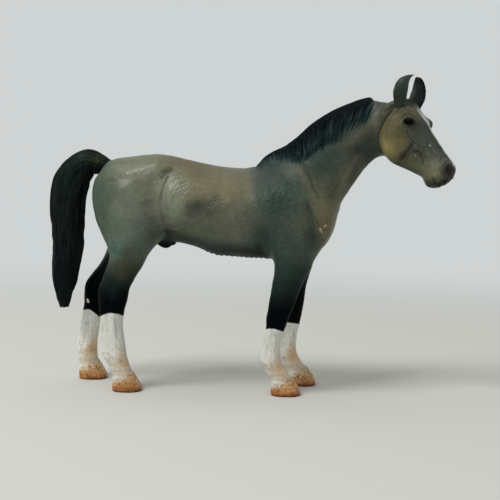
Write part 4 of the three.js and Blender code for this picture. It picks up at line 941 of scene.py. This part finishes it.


# Leg above the sock, white sock and horn of the hoof. The far socks get painted light: their white is
# made brighter.
def leg_paint(p, n, name, c, gloss, glaze):
    x, z = p[:, 0], p[:, 2]
    leg, (sock, slope, sink, heights, bands) = legs[name], leg_paints[name]
    ahead, far = n[:, 0], leg["side"] > 0
    grade = np.stack([np.interp(-z, [-h for h in heights], [b[k] for b in bands])
                      for k in range(3)], 1)
    c = mix(c, grade, smooth(50.5, 44, z + 1.5 * noise(p, 6.0, 53)))
    glaze = glaze * (1 - 0.85 * smooth(52, 34, z))
    front, back = [row[0] * LIMB_DEPTH for row in leg["table"](np.array([sock / LEG_HEIGHT]))[:2]]
    off = x - leg["hip"] - (front + back) / 2
    ragged = sock + 0.3 * noise(p, 2.6, 54) + 0.1 * noise(p, 0.8, 55) + slope * off
    ragged -= sink * np.minimum(np.abs(off) / ((front - back) / 2), 1.15) ** 2.4
    speck = smooth(0.48, 0.62, noise(p, 0.42, 56)) * (0.15 + 0.5 * bell(z, 12, 2.6))
    streaks = smooth(0.35, 0.7, noise(p * [1, 1, 0.16], 0.5, 65)) * smooth(13, 17, z)
    # Painted light: the white of the far socks is brighter
    white_paint = plain(SOCK, len(p)) + 14.0 * far
    white_paint = mix(white_paint, (140, 148, 138), np.maximum(speck, 0.3 * streaks))
    tan = bell(z, 9.4, 3.0) * (0.5 + 0.35 * noise(p, 3.0, 57)) * smooth(-1.0, 0.4, ahead)
    tan = tan + (0.3 + 0.25 * far) * bell(z, 12.5, 3.5) * smooth(-0.1, 0.7, ahead)
    white_paint = mix(white_paint, (216, 176, 134), np.clip(tan, 0, 0.9))
    ledge = bell(z, 6.7, 1.1) * (0.55 + 0.25 * smooth(-0.6, 0.6, ahead))
    white_paint = mix(white_paint, (178, 166, 142), ledge)
    white = smooth(0.18, -0.18, z - ragged)
    c = mix(c, white_paint, white)
    gloss, glaze = toward(gloss, 0.42, white), toward(glaze, 0.7, white)
    level = z - 8.0 - 0.5 * (x - leg["toe"])
    horn = smooth(1.5, -1.9, level + 0.7 * noise(p, 1.6, 58) + 1.1 * noise(p, 0.45, 68))
    pale = smooth(0.2, 4.4, z) + 0.35 * noise(p, 2.2, 59) + 0.30 * noise(p, 0.5, 69)
    horn_paint = mix(plain(HORN, len(p)), (216, 178, 130), np.clip(pale, 0, 1) * 0.9)
    dots = smooth(0.10, 0.40, noise(p, 0.42, 60)) * (0.4 + 0.5 * bell(level, 0, 2.4))
    horn_paint = mix(horn_paint, (84, 50, 28), dots * 0.7)
    horn_paint = mix(horn_paint, HORN_DARK, smooth(1.2, 0.3, z + 0.4 * noise(p, 1.2, 67)) * 0.7)
    return mix(c, horn_paint, horn), toward(gloss, 0.38, horn), glaze


def paint(p, n):
    x, y, z = p.T
    wobble = [along + 1.6 * noise(p, 5.0, seed) for along, seed in ((x, 51), (z, 52))]
    # The patches include painted shade in the barrel's hollow and a painted highlight on the flank's
    # bulge
    c = patchwork(plain(COAT, len(p)), 0.35, *wobble, coat_patches, 1.1) * COAT_TONE
    gloss, glaze = np.full(len(p), 0.40), np.full(len(p), 0.38)
    for cx, cz, rx, rz in shine_spots:
        glaze += 1.1 * bell(x, cx, rx, z, cz, rz)
    sideways = smooth(0.25, 0.75, np.abs(n[:, 1]))
    # Dark wash along the dented lines of the coat, which also paints the shade in these creases
    for line, reach, lift in polylines:
        if lift < -0.2:
            wash_and_shade = polyline(x, z, line, reach * 0.6, 1.0) * min(0.36, -lift) * min(1.0, 0.5 / reach)
            c = mix(c, WASH_AND_SHADE, wash_and_shade * sideways * (z > 48))
    # belly line and sheath: painted shade where the belly faces down, and the sheath's dark paint
    under = smooth(-0.5, -0.9, n[:, 2]) * (z > 44) * smooth(60, 57, z)
    sheath = smooth(1.0, -0.2, sheath_field(p)) * smooth(58.0, 56.0, z)
    c = mix(mix(c, WASH_AND_SHADE, under * 0.7), SHEATH_PAINT, sheath)
    glaze = glaze * (1 - 0.8 * under) * (1 - 0.7 * sheath)
    for name in legs:
        mine = on_leg(p, name)
        c[mine], gloss[mine], glaze[mine] = leg_paint(p[mine], n[mine], name, c[mine],
                                                      gloss[mine], glaze[mine])
    # Among these strokes are a painted highlight over the rump and a dark wash that paints the shade in
    # the hip's pit
    for line, reach, colour, power in coat_strokes:
        here = sideways * (z > 30.5) * ((y < 0) | (z > 56))
        c = mix(c, colour, polyline(x, z, line, reach, power) * here)
    # bare spot on the far hock
    hock = legs["left_hind_leg"]
    front = hock["table"](np.array([HOCK_HEIGHT / LEG_HEIGHT]))[1][0]
    chip_x = hock["hip"] + (front + 0.20) * LIMB_DEPTH
    away = np.hypot((x - chip_x) / 0.5, z - HOCK_CHIP_HEIGHT) + 0.3 * noise(p, 0.5, 66)
    c = mix(c, (226, 228, 222), smooth(1.1, 0.8, away) * (n[:, 1] < 0) * (y > 0))
    # mane
    inside, sweep, _, drop = mane_depth(p)
    strand = 0.5 + 0.5 * noise(np.stack([sweep / 0.42, y / 2, drop / 4], 1), 1.0, 61)
    hair = smooth(-1.3, 1.7, inside + 3.2 * (strand - 0.5))
    c = mix(c, (36, 56, 54), smooth(-3.4, 0.6, inside) * 0.7)
    lower = smooth(0.2, 0.75, drop / np.maximum(drop + inside, 1))
    black = mix(plain((3, 12, 14), len(p)), (26, 42, 44), lower * 0.9)
    # Lighter strands are a painted sheen on the black hair
    black = mix(black, (54, 68, 72), smooth(0.55, 0.95, strand) * (0.2 + 0.6 * lower))
    black = mix(black, (2, 8, 10), smooth(0.40, 0.2, strand) * 0.7)
    c = mix(c, black, hair)
    gloss, glaze = toward(gloss, 0.50, hair), toward(glaze, 0.09, hair)
    for cx, cz, r in chips:
        away = np.hypot(x - cx, z - cz) + 0.25 * noise(p, 0.5, 62)
        c = mix(c, (196, 190, 170), smooth(r, r * 0.5, away) * (y < 0))
    head = on_head_part(p)
    c[head], gloss[head] = head_paint(p[head], n[head], c[head])
    glaze[head] = np.where(gloss[head] < 0.3, 0.12, 0.45)
    grain = (0.05 * noise(p, 0.9, 63) + 0.04 * noise(p, 3.5, 64))
    grain = 1 + grain * (1 - 0.7 * smooth(140, 210, c.mean(1)))
    return np.clip(c * grain[:, None], 0, 255), np.stack([gloss, glaze], 1)


# The same on the head, with place and reach in shares of its length and depth
head_patches = [
    (0.22, -0.22, 0.12, 0.24, (112, 106, 70), 1.1), (0.38, -0.42, 0.12, 0.13, (196, 174, 116), 1.6),
    (0.40, -0.15, 0.08, 0.16, (116, 108, 68), 1.0), (0.20, 0.00, 0.09, 0.14, (100, 95, 66), 0.9),
    (0.10, 0.20, 0.09, 0.12, (92, 88, 68), 0.9), (0.27, 0.34, 0.05, 0.05, (114, 98, 82), 0.9),
    (0.24, 0.24, 0.04, 0.05, (74, 76, 58), 0.8),
    (0.22, 0.14, 0.05, 0.06, (104, 104, 78), 0.9), (0.34, 0.20, 0.05, 0.10, (76, 76, 60), 0.9),
    (0.48, 0.20, 0.13, 0.16, (66, 73, 66), 1.3), (0.68, 0.28, 0.12, 0.10, (70, 77, 70), 1.2),
    (0.56, 0.03, 0.06, 0.08, (58, 64, 54), 1.0), (0.62, -0.10, 0.06, 0.12, (86, 90, 60), 1.2),
    (0.55, -0.22, 0.035, 0.14, (48, 44, 34), 0.9), (0.72, 0.06, 0.08, 0.10, (82, 87, 70), 1.0),
    (0.74, -0.14, 0.08, 0.12, (98, 100, 74), 1.0), (0.83, 0.02, 0.08, 0.13, (130, 131, 106), 1.2),
    (0.80, -0.24, 0.07, 0.08, (112, 116, 84), 1.6), (0.50, -0.42, 0.10, 0.10, (78, 74, 46), 0.9),
    (1.0, 0.12, 0.035, 0.12, (50, 46, 44), 1.2), (0.945, 0.27, 0.04, 0.07, (54, 42, 40), 1.1),
    (0.94, -0.13, 0.05, 0.10, (60, 58, 50), 1.8),
]


def head_paint(p, n, under):
    a, u, s = head_coordinates(p)
    wobble = a + 0.02 * noise(p, 3.0, 71), u + 0.03 * noise(p, 3.0, 72)
    c = patchwork(under, 0.2, *wobble, head_patches) * 0.88
    # Painted shade where the lower face and muzzle face down
    c = mix(c, HEAD_WASH_AND_SHADE, smooth(-0.45, -0.9, n[:, 2]) * smooth(0.40, 0.56, a) * 0.8)
    # Dark wash in the creases, which also paints their shade
    for line, reach, _ in creases:
        c = mix(c, HEAD_WASH_AND_SHADE, head_line(a, u, line, reach * 0.8, 0.45))
    # white blaze down the front, with a dark edge on the near side
    upward = n @ head_up
    edge = -0.045 - 0.10 * smooth(0.46, 0.26, a) - 0.06 * smooth(0.84, 0.92, a)
    edge -= 0.02 * noise(p, 1.5, 73)
    blaze = smooth(-0.015, 0.015, s - edge) * smooth(0.30, 0.22, s) * smooth(0.35, 0.8, upward)
    blaze = blaze * smooth(0.16, 0.24, a) * smooth(0.94, 0.89, a)
    c = mix(c, (198, 201, 196), blaze)
    dark = smooth(-0.20, -0.04, s) * smooth(0.2, 0.5, upward)
    dark = dark * smooth(0.24, 0.36, a) * smooth(0.95, 0.8, a)
    c = mix(c, (40, 46, 40), dark * 0.7 * (1 - blaze))
    c = mix(c, (52, 56, 48), smooth(0.2, 0.34, s) * smooth(0.1, 0.4, u) * 0.8)
    c = mix(c, (58, 60, 50), np.clip(forelock(a, u, s, 0.35) * 1.2, 0, 1))
    # eye, nostril and mouth
    facing = smooth(0.1, 0.45, np.abs(n @ head_side))
    ring, _ = eye_ring(a, u)
    c = mix(c, (34, 36, 30), bell(ring, 1.18, 0.18) * 0.6 * facing)
    eye = smooth(1.05, 0.95, ring) * facing
    c = mix(c, (3, 3, 4), eye)
    c = mix(c, (28, 23, 25), smooth(1.15, 0.75, nostril_ring(a, u)) * smooth(0.05, 0.3, np.abs(s)))
    c = mix(c, (44, 44, 34), head_line(a, u, mouth, 0.28, 1.0) * 0.6)
    behind = smooth(0.012, -0.012, a - np.interp(u, jowl_rise, jowl_place))
    c = mix(c, (62, 65, 52), behind * 0.85)
    # Dark line in the groove at the cheek's edge, a wash that also paints its shade
    c = mix(c, (40, 43, 34), head_line(a, u, jowl, 0.30, 0.7) * facing)
    for ca, cu, r in glints:
        away = np.hypot((a - ca) * HEAD_LENGTH, (u - cu) * HEAD_DEPTH)
        c = mix(c, (196, 198, 190), smooth(r, r * 0.3, away) * facing * 0.8)
    at_seam = smooth(3.0, 0.2, (p - head_seam) @ head_seam_normal)
    return mix(c, under, at_seam), toward(np.full(len(p), 0.36), 0.22, eye)


# Build the skin once, then share it out to the pieces

# Reach and rounds of the smoothing at the ends of trunk and head, and at the coronets
CHEST_REACH, CHEST_ROUNDS, CHEST_LAST_REACH, CHEST_LAST_ROUNDS = 6.2, 200, 7.4, 24
CHEST_PLAIN_REACH = 8.0
NOSE_SMOOTHING = ((3.4, 120), (6.8, 34))
NOSE_LAST_REACH, NOSE_LAST_ROUNDS, NOSE_LAST_SHARE = 5.0, 14, 0.6
CORONET_HEIGHT, CORONET_REACH, CORONET_ROUNDS = 8.8, 1.7, 30
chest_tip = np.array([trunk_x(1) + 0.6, 0, trunk_z(-0.08)])
nose_tip = on_head(1.0, (head_shares[-1][1] + head_shares[-1][2]) / 2, 0)


def at_tip(p, tip, reach):
    return np.exp(-(np.linalg.norm(p - tip, axis=1) / reach) ** 4)


points, quads = skin()
for _ in range(2):
    points = neighbours(quads, len(points), points) * 0.7 + points * 0.3
    points = pull(points, face_normals(points, quads))
even_out(points, quads, at_tip(points, chest_tip, CHEST_REACH), CHEST_ROUNDS)
middle = points[quads].mean(1)
chosen = (mane_depth(middle)[0] > -1.2) | hooves_near(middle)
chosen |= engraved(middle) & (at_tip(middle, chest_tip, CHEST_PLAIN_REACH) < 0.05)
chosen |= on_head_part(middle) & (middle[:, 2] > HEAD_FLOOR)
points, quads = refine(points, quads, chosen)
chest = at_tip(points, chest_tip, CHEST_LAST_REACH)
for _ in range(2):
    points += (pull(points, face_normals(points, quads)) - points) * (1 - chest)[:, None]
even_out(points, quads, chest, CHEST_LAST_ROUNDS)
for reach, rounds in NOSE_SMOOTHING:
    even_out(points, quads, at_tip(points, nose_tip, reach), rounds)
even_out(points, quads, bell(points[:, 2], CORONET_HEIGHT, CORONET_REACH), CORONET_ROUNDS)
normals = face_normals(points, quads)
for _ in range(2):
    normals += neighbours(quads, len(points), normals)
    normals /= np.linalg.norm(normals, axis=1)[:, None]
raised = points + normals * relief(points, normals)[:, None]
raised[:, 2] = np.maximum(raised[:, 2], 0)
nose = NOSE_LAST_SHARE * at_tip(points, nose_tip, NOSE_LAST_REACH)
even_out(raised, quads, nose, NOSE_LAST_ROUNDS)
colours, finish = paint(points, normals)
skin_normals = face_normals(raised, quads)


def build_mesh(name, verts, faces, vert_normals, colour, finish, material, nodes):
    mesh = bpy.data.meshes.new(name)
    faces = [tuple(int(i) for i in f) for f in faces]
    mesh.from_pydata(((verts + ORIGIN_SHIFT) * MM).tolist(), [], faces)
    mesh.update()
    mesh.shade_smooth()
    layer = mesh.color_attributes.new("paint", "FLOAT_COLOR", "POINT")
    rgba = np.ones((len(verts), 4), np.float32)
    rgba[:, :3] = screen(colour)
    layer.data.foreach_set("color", rgba.ravel())
    for column, kind in enumerate(("rough", "glaze")):
        layer = mesh.attributes.new(kind, "FLOAT", "POINT")
        layer.data.foreach_set("value", np.ascontiguousarray(finish[:, column], np.float32))
    mesh.normals_split_custom_set_from_vertices(vert_normals.tolist())
    mesh.materials.append(material)
    piece = bpy.data.objects.new(name, mesh)
    bpy.context.scene.collection.objects.link(piece)
    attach(piece, "root")
    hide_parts(*nodes)


def closed(verts, faces, vert_normals, extra):
    """Caps the open seam rings of a piece with fans to the middle of each ring."""
    used, small = np.unique(faces, return_inverse=True)
    faces = small.reshape(faces.shape)
    verts, vert_normals = verts[used], vert_normals[used]
    extra = [e[used] for e in extra]
    edges = np.vstack([faces[:, [c, (c + 1) % 4]] for c in range(4)])
    edges = edges[edges[:, 0] != edges[:, 1]]
    keys = np.sort(edges, 1)
    key = keys[:, 0] * len(verts) + keys[:, 1]
    _, index, count = np.unique(key, return_index=True, return_counts=True)
    border = edges[index[count == 1]]
    follow = {int(b): int(a) for a, b in border}
    face_list = [tuple(f) if f[2] != f[3] else tuple(f[:3]) for f in faces.tolist()]
    while follow:
        start, at = follow.popitem()
        loop = [start]
        while at != start and at in follow:
            loop.append(at)
            at = follow.pop(at)
        if len(loop) < 3:
            continue
        last = len(verts)
        verts = np.vstack([verts, verts[loop].mean(0)])
        vert_normals = np.vstack([vert_normals, UP])
        extra = [np.concatenate([e, e[loop[:1]]]) for e in extra]
        face_list += [(a, b, last) for a, b in zip(loop, loop[1:] + loop[:1])]
    return verts, face_list, vert_normals, extra


# Materials

def set_inputs(made, inputs):
    for socket, value in inputs.items():
        made.inputs[socket].default_value = value


def node(tree, kind, inputs=(), **values):
    made = tree.nodes.new(kind)
    for key, value in values.items():
        setattr(made, key, value)
    set_inputs(made, dict(inputs))
    return made


def wire(tree, *links):
    for start, output, end, socket in links:
        tree.links.new(start.outputs[output], end.inputs[socket])


SPECKLE_SCALE, SPECKLE_ROUGHNESS, SPECULAR, BUMP_HEIGHT = 900, 0.12, 0.30, 0.0002


def vinyl(name, hair_scale, hair_turn, hair_depth, coat):
    material = bpy.data.materials.new(name)
    material.use_nodes = True
    tree = material.node_tree
    shader = tree.nodes["Principled BSDF"]
    colour, rough, glaze = [node(tree, "ShaderNodeAttribute", attribute_name=kind)
                            for kind in ("paint", "rough", "glaze")]
    place = node(tree, "ShaderNodeTexCoord")
    speckle = node(tree, "ShaderNodeTexNoise", {"Scale": SPECKLE_SCALE, "Detail": 3})
    level_map = node(tree, "ShaderNodeMapRange",
                     {"From Min": 0.3, "From Max": 0.7, "To Min": 0.9, "To Max": 1.1})
    shade = node(tree, "ShaderNodeVectorMath", operation="SCALE")
    uneven = node(tree, "ShaderNodeMath", {1: SPECKLE_ROUGHNESS}, operation="MULTIPLY_ADD")
    mapping = node(tree, "ShaderNodeMapping",
                   {"Rotation": (0, math.radians(hair_turn), 0), "Scale": hair_scale})
    hair = node(tree, "ShaderNodeTexNoise", {"Scale": 1, "Detail": 3})
    bump = node(tree, "ShaderNodeBump", {"Strength": hair_depth, "Distance": BUMP_HEIGHT})
    wire(tree, (place, "Object", speckle, "Vector"), (speckle, "Fac", level_map, "Value"),
         (colour, "Color", shade, 0), (level_map, "Result", shade, "Scale"),
         (shade, "Vector", shader, "Base Color"), (speckle, "Fac", uneven, 0),
         (rough, "Fac", uneven, 2), (uneven, "Value", shader, "Roughness"),
         (place, "Object", mapping, "Vector"), (mapping, "Vector", hair, "Vector"),
         (hair, "Fac", bump, "Height"), (bump, "Normal", shader, "Normal"))
    for socket, full in (("Specular IOR Level", SPECULAR), ("Coat Weight", coat)):
        level = node(tree, "ShaderNodeMath", {1: full}, operation="MULTIPLY")
        wire(tree, (glaze, "Fac", level, 0), (level, "Value", shader, socket))
    set_inputs(shader, {"Coat Roughness": 0.3})
    return material


coat_material = vinyl("coat_paint", (350, 700, 1400), -28, 0.6, 0.15)
sock_material = vinyl("sock_paint", (900, 900, 350), 0, 0.3, 0.05)
hair_material = vinyl("hair_paint", (1500, 900, 250), 0, 0.5, 0.1)

# Share the faces out at the seams
rest_middle = points[quads].mean(1)
owner = np.full(len(quads), "body", dtype=object)
owner[on_head_part(rest_middle) & (rest_middle[:, 2] > HEAD_FLOOR)] = "head"
for name in legs:
    owner[on_leg(rest_middle, name) & (rest_middle[:, 2] < LEG_SEAM_HEIGHT)] = name
for name in ("body", "head", *legs):
    verts, face_list, piece_normals, (c, s) = closed(
        raised, quads[owner == name], skin_normals, [colours, finish])
    if name == "head":
        head_data = (verts, face_list, piece_normals, c, s)
    elif name == "body":
        build_mesh("body_skin", verts, face_list, piece_normals, c, s, coat_material, [name])
    else:
        build_mesh(name + "_skin", verts, face_list, piece_normals, c, s, sock_material, [name])

# Ears

# Quads between the rings of a tube, then with its two end faces, all turned outward
def tube_faces(verts, rings, around):
    here = np.arange(around)
    after = (here + 1) % around
    sides = np.vstack([np.stack([here, after, after + around, here + around], 1) + r * around
                       for r in range(rings - 1)])
    root, top = here[::-1], here + (rings - 1) * around
    fans = [(sides[:, 0], sides[:, i], sides[:, i + 1]) for i in (1, 2)]
    fans += [(ring[:1], ring[1:-1], ring[2:]) for ring in (root, top)]
    volume = sum((verts[a] * np.cross(verts[b], verts[c])).sum() for a, b, c in fans)
    if volume < 0:
        sides, root, top = sides[:, ::-1], root[::-1], top[::-1]
    return sides, sides.tolist() + [root.tolist(), top.tolist()]


def ear(side, turned, raised_share, swivel, curl):
    forward = unit(np.cross(head_side, UP))
    outward = head_side * side
    swing = 2 * math.pi * swivel
    cup_forward = unit(forward * math.cos(swing) - outward * math.sin(swing))
    cup_outward = unit(outward * math.cos(swing) + forward * math.sin(swing))
    shares = np.concatenate([np.linspace(-0.2, 0.9, 32), np.linspace(0.91, 0.985, 12)])
    around = 48
    angle = 2 * math.pi * np.arange(around)[:, None] / around
    height = np.sin(angle)
    rim = 1 + 0.05 * bell(height, 0, 0.25)
    # Painted highlight along both rims of the ear, stronger on the near ear
    edge = bell(height, 0, 0.12) * (0.35 if side < 0 else 0.1)
    base = np.where(height > 0.05, (33, 42, 38), (44, 55, 48))
    verts, colour = [], []
    for share, out, ahead, broad, deep in zip(shares, *smooth_rows(ear_shares)(shares)):
        out -= curl * max(share - 0.66, 0) / 0.34
        middle = (on_head(0.05, 0.225, 0) + UP * (share + raised_share) * EAR_LENGTH
                  + forward * (ahead + turned) * EAR_LENGTH + outward * out * HEAD_WIDTH)
        cup = np.where(height > 0, max(0.45 * min(share * 4 + 0.4, 1), 0.05), 1)
        verts.append(middle + np.cos(angle) * broad * EAR_WIDTH * rim * cup_outward
                     - np.abs(height) ** 0.9 * deep * EAR_DEPTH * cup * cup_forward)
        colour.append(base * (1 - 0.7 * smooth(0.75, 0.95, share)) + edge * (70, 74, 68))
    verts = np.vstack(verts)
    sides, faces = tube_faces(verts, len(shares), around)
    return verts, np.vstack(colour), face_normals(verts, sides), faces


verts, face_list, piece_normals, c, s = head_data
for pose in ear_pose_shares:
    ear_verts, ear_colours, ear_normals, ear_faces = ear(*pose)
    face_list += [[i + len(verts) for i in f] for f in ear_faces]
    verts = np.vstack([verts, ear_verts])
    piece_normals = np.vstack([piece_normals, ear_normals])
    c = np.vstack([c, ear_colours])
    s = np.vstack([s, plain((0.40, 0.5), len(ear_verts))])
build_mesh("head_skin", verts, face_list, piece_normals, c, s, coat_material, ["head"])


# Tail

def catmull(points_in, share):
    pts = np.array(points_in, float)
    n = len(pts) - 1
    f = np.clip(share, 0, 1) * n
    i = np.minimum(f.astype(int), n - 1)
    t = (f - i)[:, None]
    ext = np.vstack([2 * pts[0] - pts[1], pts, 2 * pts[-1] - pts[-2]])
    p0, p1, p2, p3 = ext[i], ext[i + 1], ext[i + 2], ext[i + 3]
    return 0.5 * (2 * p1 + (p2 - p0) * t + (2 * p0 - 5 * p1 + 4 * p2 - p3) * t ** 2
                  + (3 * p1 - p0 - 3 * p2 + p3) * t ** 3)


# Patches of colour, and streams of hair: how many round the tail and along it, and their depth
tail_patches = [
    (-58, 82.3, 5, 2.2, (36, 54, 48), 0.8), (-55, 81.6, 3, 1.5, (66, 68, 46), 0.9),
    (-50.5, 80.6, 2.5, 3, (10, 28, 38), 0.8), (-66, 74, 5, 8, (22, 38, 34), 0.7),
    (-59.5, 54, 2.5, 9, (30, 42, 34), 0.8), (-66, 40, 4, 10, (14, 14, 20), 0.7),
]
tail_streams = [(3.0, 3.0, 0.18), (6.0, 6.0, 0.24), (12.0, 11.0, 0.22)]


def tail():
    dock = np.array([trunk_x(0.03), 0, trunk_z(0.385)])
    path = [dock + np.array([x * TAIL_REACH, 0, z * TAIL_DROP]) for x, z, _, _ in tail_shares]
    table = smooth_rows([(i / (len(tail_shares) - 1), r[2], r[3]) for i, r in enumerate(tail_shares)])
    rings, around = 300, 216
    share = np.linspace(0.02, 1, rings)
    middle = catmull(path, share)
    ahead = catmull(path, np.minimum(share + 0.004, 1)) - catmull(path, np.maximum(share - 0.004, 0))
    ahead /= np.linalg.norm(ahead, axis=1)[:, None]
    out = np.cross(ahead, LEFT)
    thick, wide = table(share)
    amount = smooth(0.02, 0.2, share) * np.minimum(thick, 1)
    low, end = smooth(0.4, 0.6, share), smooth(0.9, 1.0, share)
    angle = 2 * math.pi * np.arange(around) / around
    verts, grooves = [], []
    for r, s in enumerate(share):
        q = np.stack([np.cos(angle) * 3 + 7, np.sin(angle) * 3, np.full(around, s * 5)], 1)
        wave = angle + 0.45 * noise(q * [1, 1, 0.8], 1.0, 81) + 0.5 * s
        deep = np.zeros(around)
        for turns, run, part in tail_streams:
            spot = [np.cos(wave) * turns + 20, np.sin(wave) * turns, np.full(around, s * run)]
            deep += part * (1 - np.abs(noise(np.stack(spot, 1), 1.0, round(run))) * 2.0)
        lumps = 0.30 * noise(q * [1, 1, 2.2], 1.0, 82) + 0.32 * low[r] * noise(q * [1, 1, 5], 1.0, 85)
        swell = amount[r] * (deep - 0.22 + lumps + 0.8 * end[r])
        verts.append(middle[r]
                     + (np.cos(angle) * (thick[r] * TAIL_THICKNESS / 2 + swell))[:, None] * out[r]
                     + (np.sin(angle) * (wide[r] * TAIL_WIDTH / 2 + swell))[:, None] * LEFT)
        grooves.append(deep)
    verts, grooves = np.vstack(verts), np.concatenate(grooves)
    verts[:, 2] -= np.repeat(end, around) * 0.5 * noise(verts * [1, 1, 0.2], 0.9, 83)
    sides, faces = tube_faces(verts, rings, around)
    streaks = np.clip(0.5 + 0.9 * noise(verts * [1, 1, 0.25], 0.8, 84), 0, 1)
    base = mix(plain((12, 16, 19), len(verts)), (20, 30, 29), streaks)
    base = mix(base, (34, 46, 40), np.clip(grooves - 0.3, 0, 1))
    for cx, cz, rx, rz, colour, power in tail_patches:
        near = power * bell(verts[:, 0], cx, rx, verts[:, 2], cz, rz)
        base = mix(base, colour, near * (0.6 + 0.4 * streaks))
    build_mesh("tail_hair", verts, faces, face_normals(verts, sides), base,
               plain((0.45, 0.16), len(verts)), hair_material, ["tail"])


tail()

# Camera: the photograph's own place, worked out from the soles on the floor
AZIMUTH, PITCH, ROLL = math.radians(4.5), math.radians(4.0), math.radians(1.0)
CAMERA_DISTANCE, CAMERA_HEIGHT, FOCAL, SENSOR = 340, 73.9, 68.4, 36
flat = np.array([-math.sin(AZIMUTH), math.cos(AZIMUTH), 0])
right = np.array([math.cos(AZIMUTH), math.sin(AZIMUTH), 0])
look = flat * math.cos(PITCH) - UP * math.sin(PITCH)
above = flat * math.sin(PITCH) + UP * math.cos(PITCH)
camera_right = right * math.cos(ROLL) + above * math.sin(ROLL)
camera_up = above * math.cos(ROLL) - right * math.sin(ROLL)
eye = (-flat * CAMERA_DISTANCE + UP * CAMERA_HEIGHT + ORIGIN_SHIFT) * MM
camera_data = bpy.data.cameras.new("camera")
camera_data.lens, camera_data.sensor_width = FOCAL, SENSOR
camera_data.clip_start, camera_data.clip_end = 0.01, 20
camera = bpy.data.objects.new("camera", camera_data)
bpy.context.scene.collection.objects.link(camera)
axes = Matrix([list(camera_right), list(camera_up), list(-look)]).transposed()
camera.matrix_world = Matrix.Translation(Vector(eye)) @ axes.to_4x4()
bpy.context.scene.camera = camera


PAPER, ROOM = (*screen((220, 222, 217)), 1), (*screen((206, 211, 211)), 1)
FLOOR_RADIUS, FLOOR_CORNERS = 4.0, 96
FADE_START, FADE_END = 0.09, 0.55


def seen_rays(tree):
    path = node(tree, "ShaderNodeLightPath")
    seen = node(tree, "ShaderNodeMath", operation="ADD", use_clamp=True)
    clear = node(tree, "ShaderNodeMath", operation="ADD", use_clamp=True)
    wire(tree, (path, "Is Camera Ray", seen, 0), (path, "Is Glossy Ray", seen, 1),
         (seen, "Value", clear, 0), (path, "Is Transmission Ray", clear, 1))
    return clear


def paper():
    material = bpy.data.materials.new("backdrop_paper")
    material.use_nodes = True
    tree = material.node_tree
    shader = tree.nodes["Principled BSDF"]
    set_inputs(shader, {"Base Color": PAPER, "Roughness": 0.95, "Specular IOR Level": 0.1})
    glow = node(tree, "ShaderNodeEmission", {"Color": ROOM})
    clear = seen_rays(tree)
    place = node(tree, "ShaderNodeNewGeometry")
    reach = node(tree, "ShaderNodeVectorMath", operation="LENGTH")
    fade = node(tree, "ShaderNodeMapRange", {"From Min": FADE_START, "From Max": FADE_END},
                interpolation_type="SMOOTHERSTEP")
    amount = node(tree, "ShaderNodeMath", operation="MULTIPLY")
    mixed = node(tree, "ShaderNodeMixShader")
    wire(tree, (place, "Position", reach, 0), (reach, "Value", fade, "Value"),
         (clear, "Value", amount, 0), (fade, "Result", amount, 1),
         (amount, "Value", mixed, "Fac"), (shader, "BSDF", mixed, 1), (glow, "Emission", mixed, 2),
         (mixed, "Shader", tree.nodes["Material Output"], "Surface"))
    return material


# Round floor that fades into the pale room further out
turns = [2 * math.pi * corner / FLOOR_CORNERS for corner in range(FLOOR_CORNERS)]
rim = [(FLOOR_RADIUS * math.cos(turn), FLOOR_RADIUS * math.sin(turn), 0) for turn in turns]
floor_mesh = bpy.data.meshes.new("floor")
floor_mesh.from_pydata(rim, [], [tuple(range(FLOOR_CORNERS))])
floor_mesh.materials.append(paper())
floor = bpy.data.objects.new("floor", floor_mesh)
bpy.context.scene.collection.objects.link(floor)


LIT_PLACE = Vector((0, 0, 0.05))


def area_light(name, place, power, size, colour):
    data = bpy.data.lights.new(name, "AREA")
    data.energy, data.size, data.color = power, size, colour
    lamp = bpy.data.objects.new(name, data)
    lamp.location = place
    lamp.rotation_mode = "QUATERNION"
    lamp.rotation_quaternion = (LIT_PLACE - Vector(place)).to_track_quat("-Z", "Y")
    bpy.context.scene.collection.objects.link(lamp)


area_light("key", (-0.48, -0.44, 0.92), 6.5, 0.45, (1, 0.985, 0.955))
area_light("top", (-0.1, 0.1, 1.2), 2.4, 0.9, (0.98, 0.98, 0.97))
world = bpy.data.worlds.new("studio")
world.use_nodes = True
tree = world.node_tree
soft = tree.nodes["Background"]
set_inputs(soft, {"Color": (0.95, 0.93, 0.89, 1), "Strength": 0.34})
pale = node(tree, "ShaderNodeBackground", {"Color": ROOM})
room = node(tree, "ShaderNodeMixShader")
wire(tree, (seen_rays(tree), "Value", room, "Fac"), (soft, "Background", room, 1),
     (pale, "Background", room, 2), (room, "Shader", tree.nodes["World Output"], "Surface"))
bpy.context.scene.world = world
bpy.context.scene.view_settings.view_transform = "Standard"
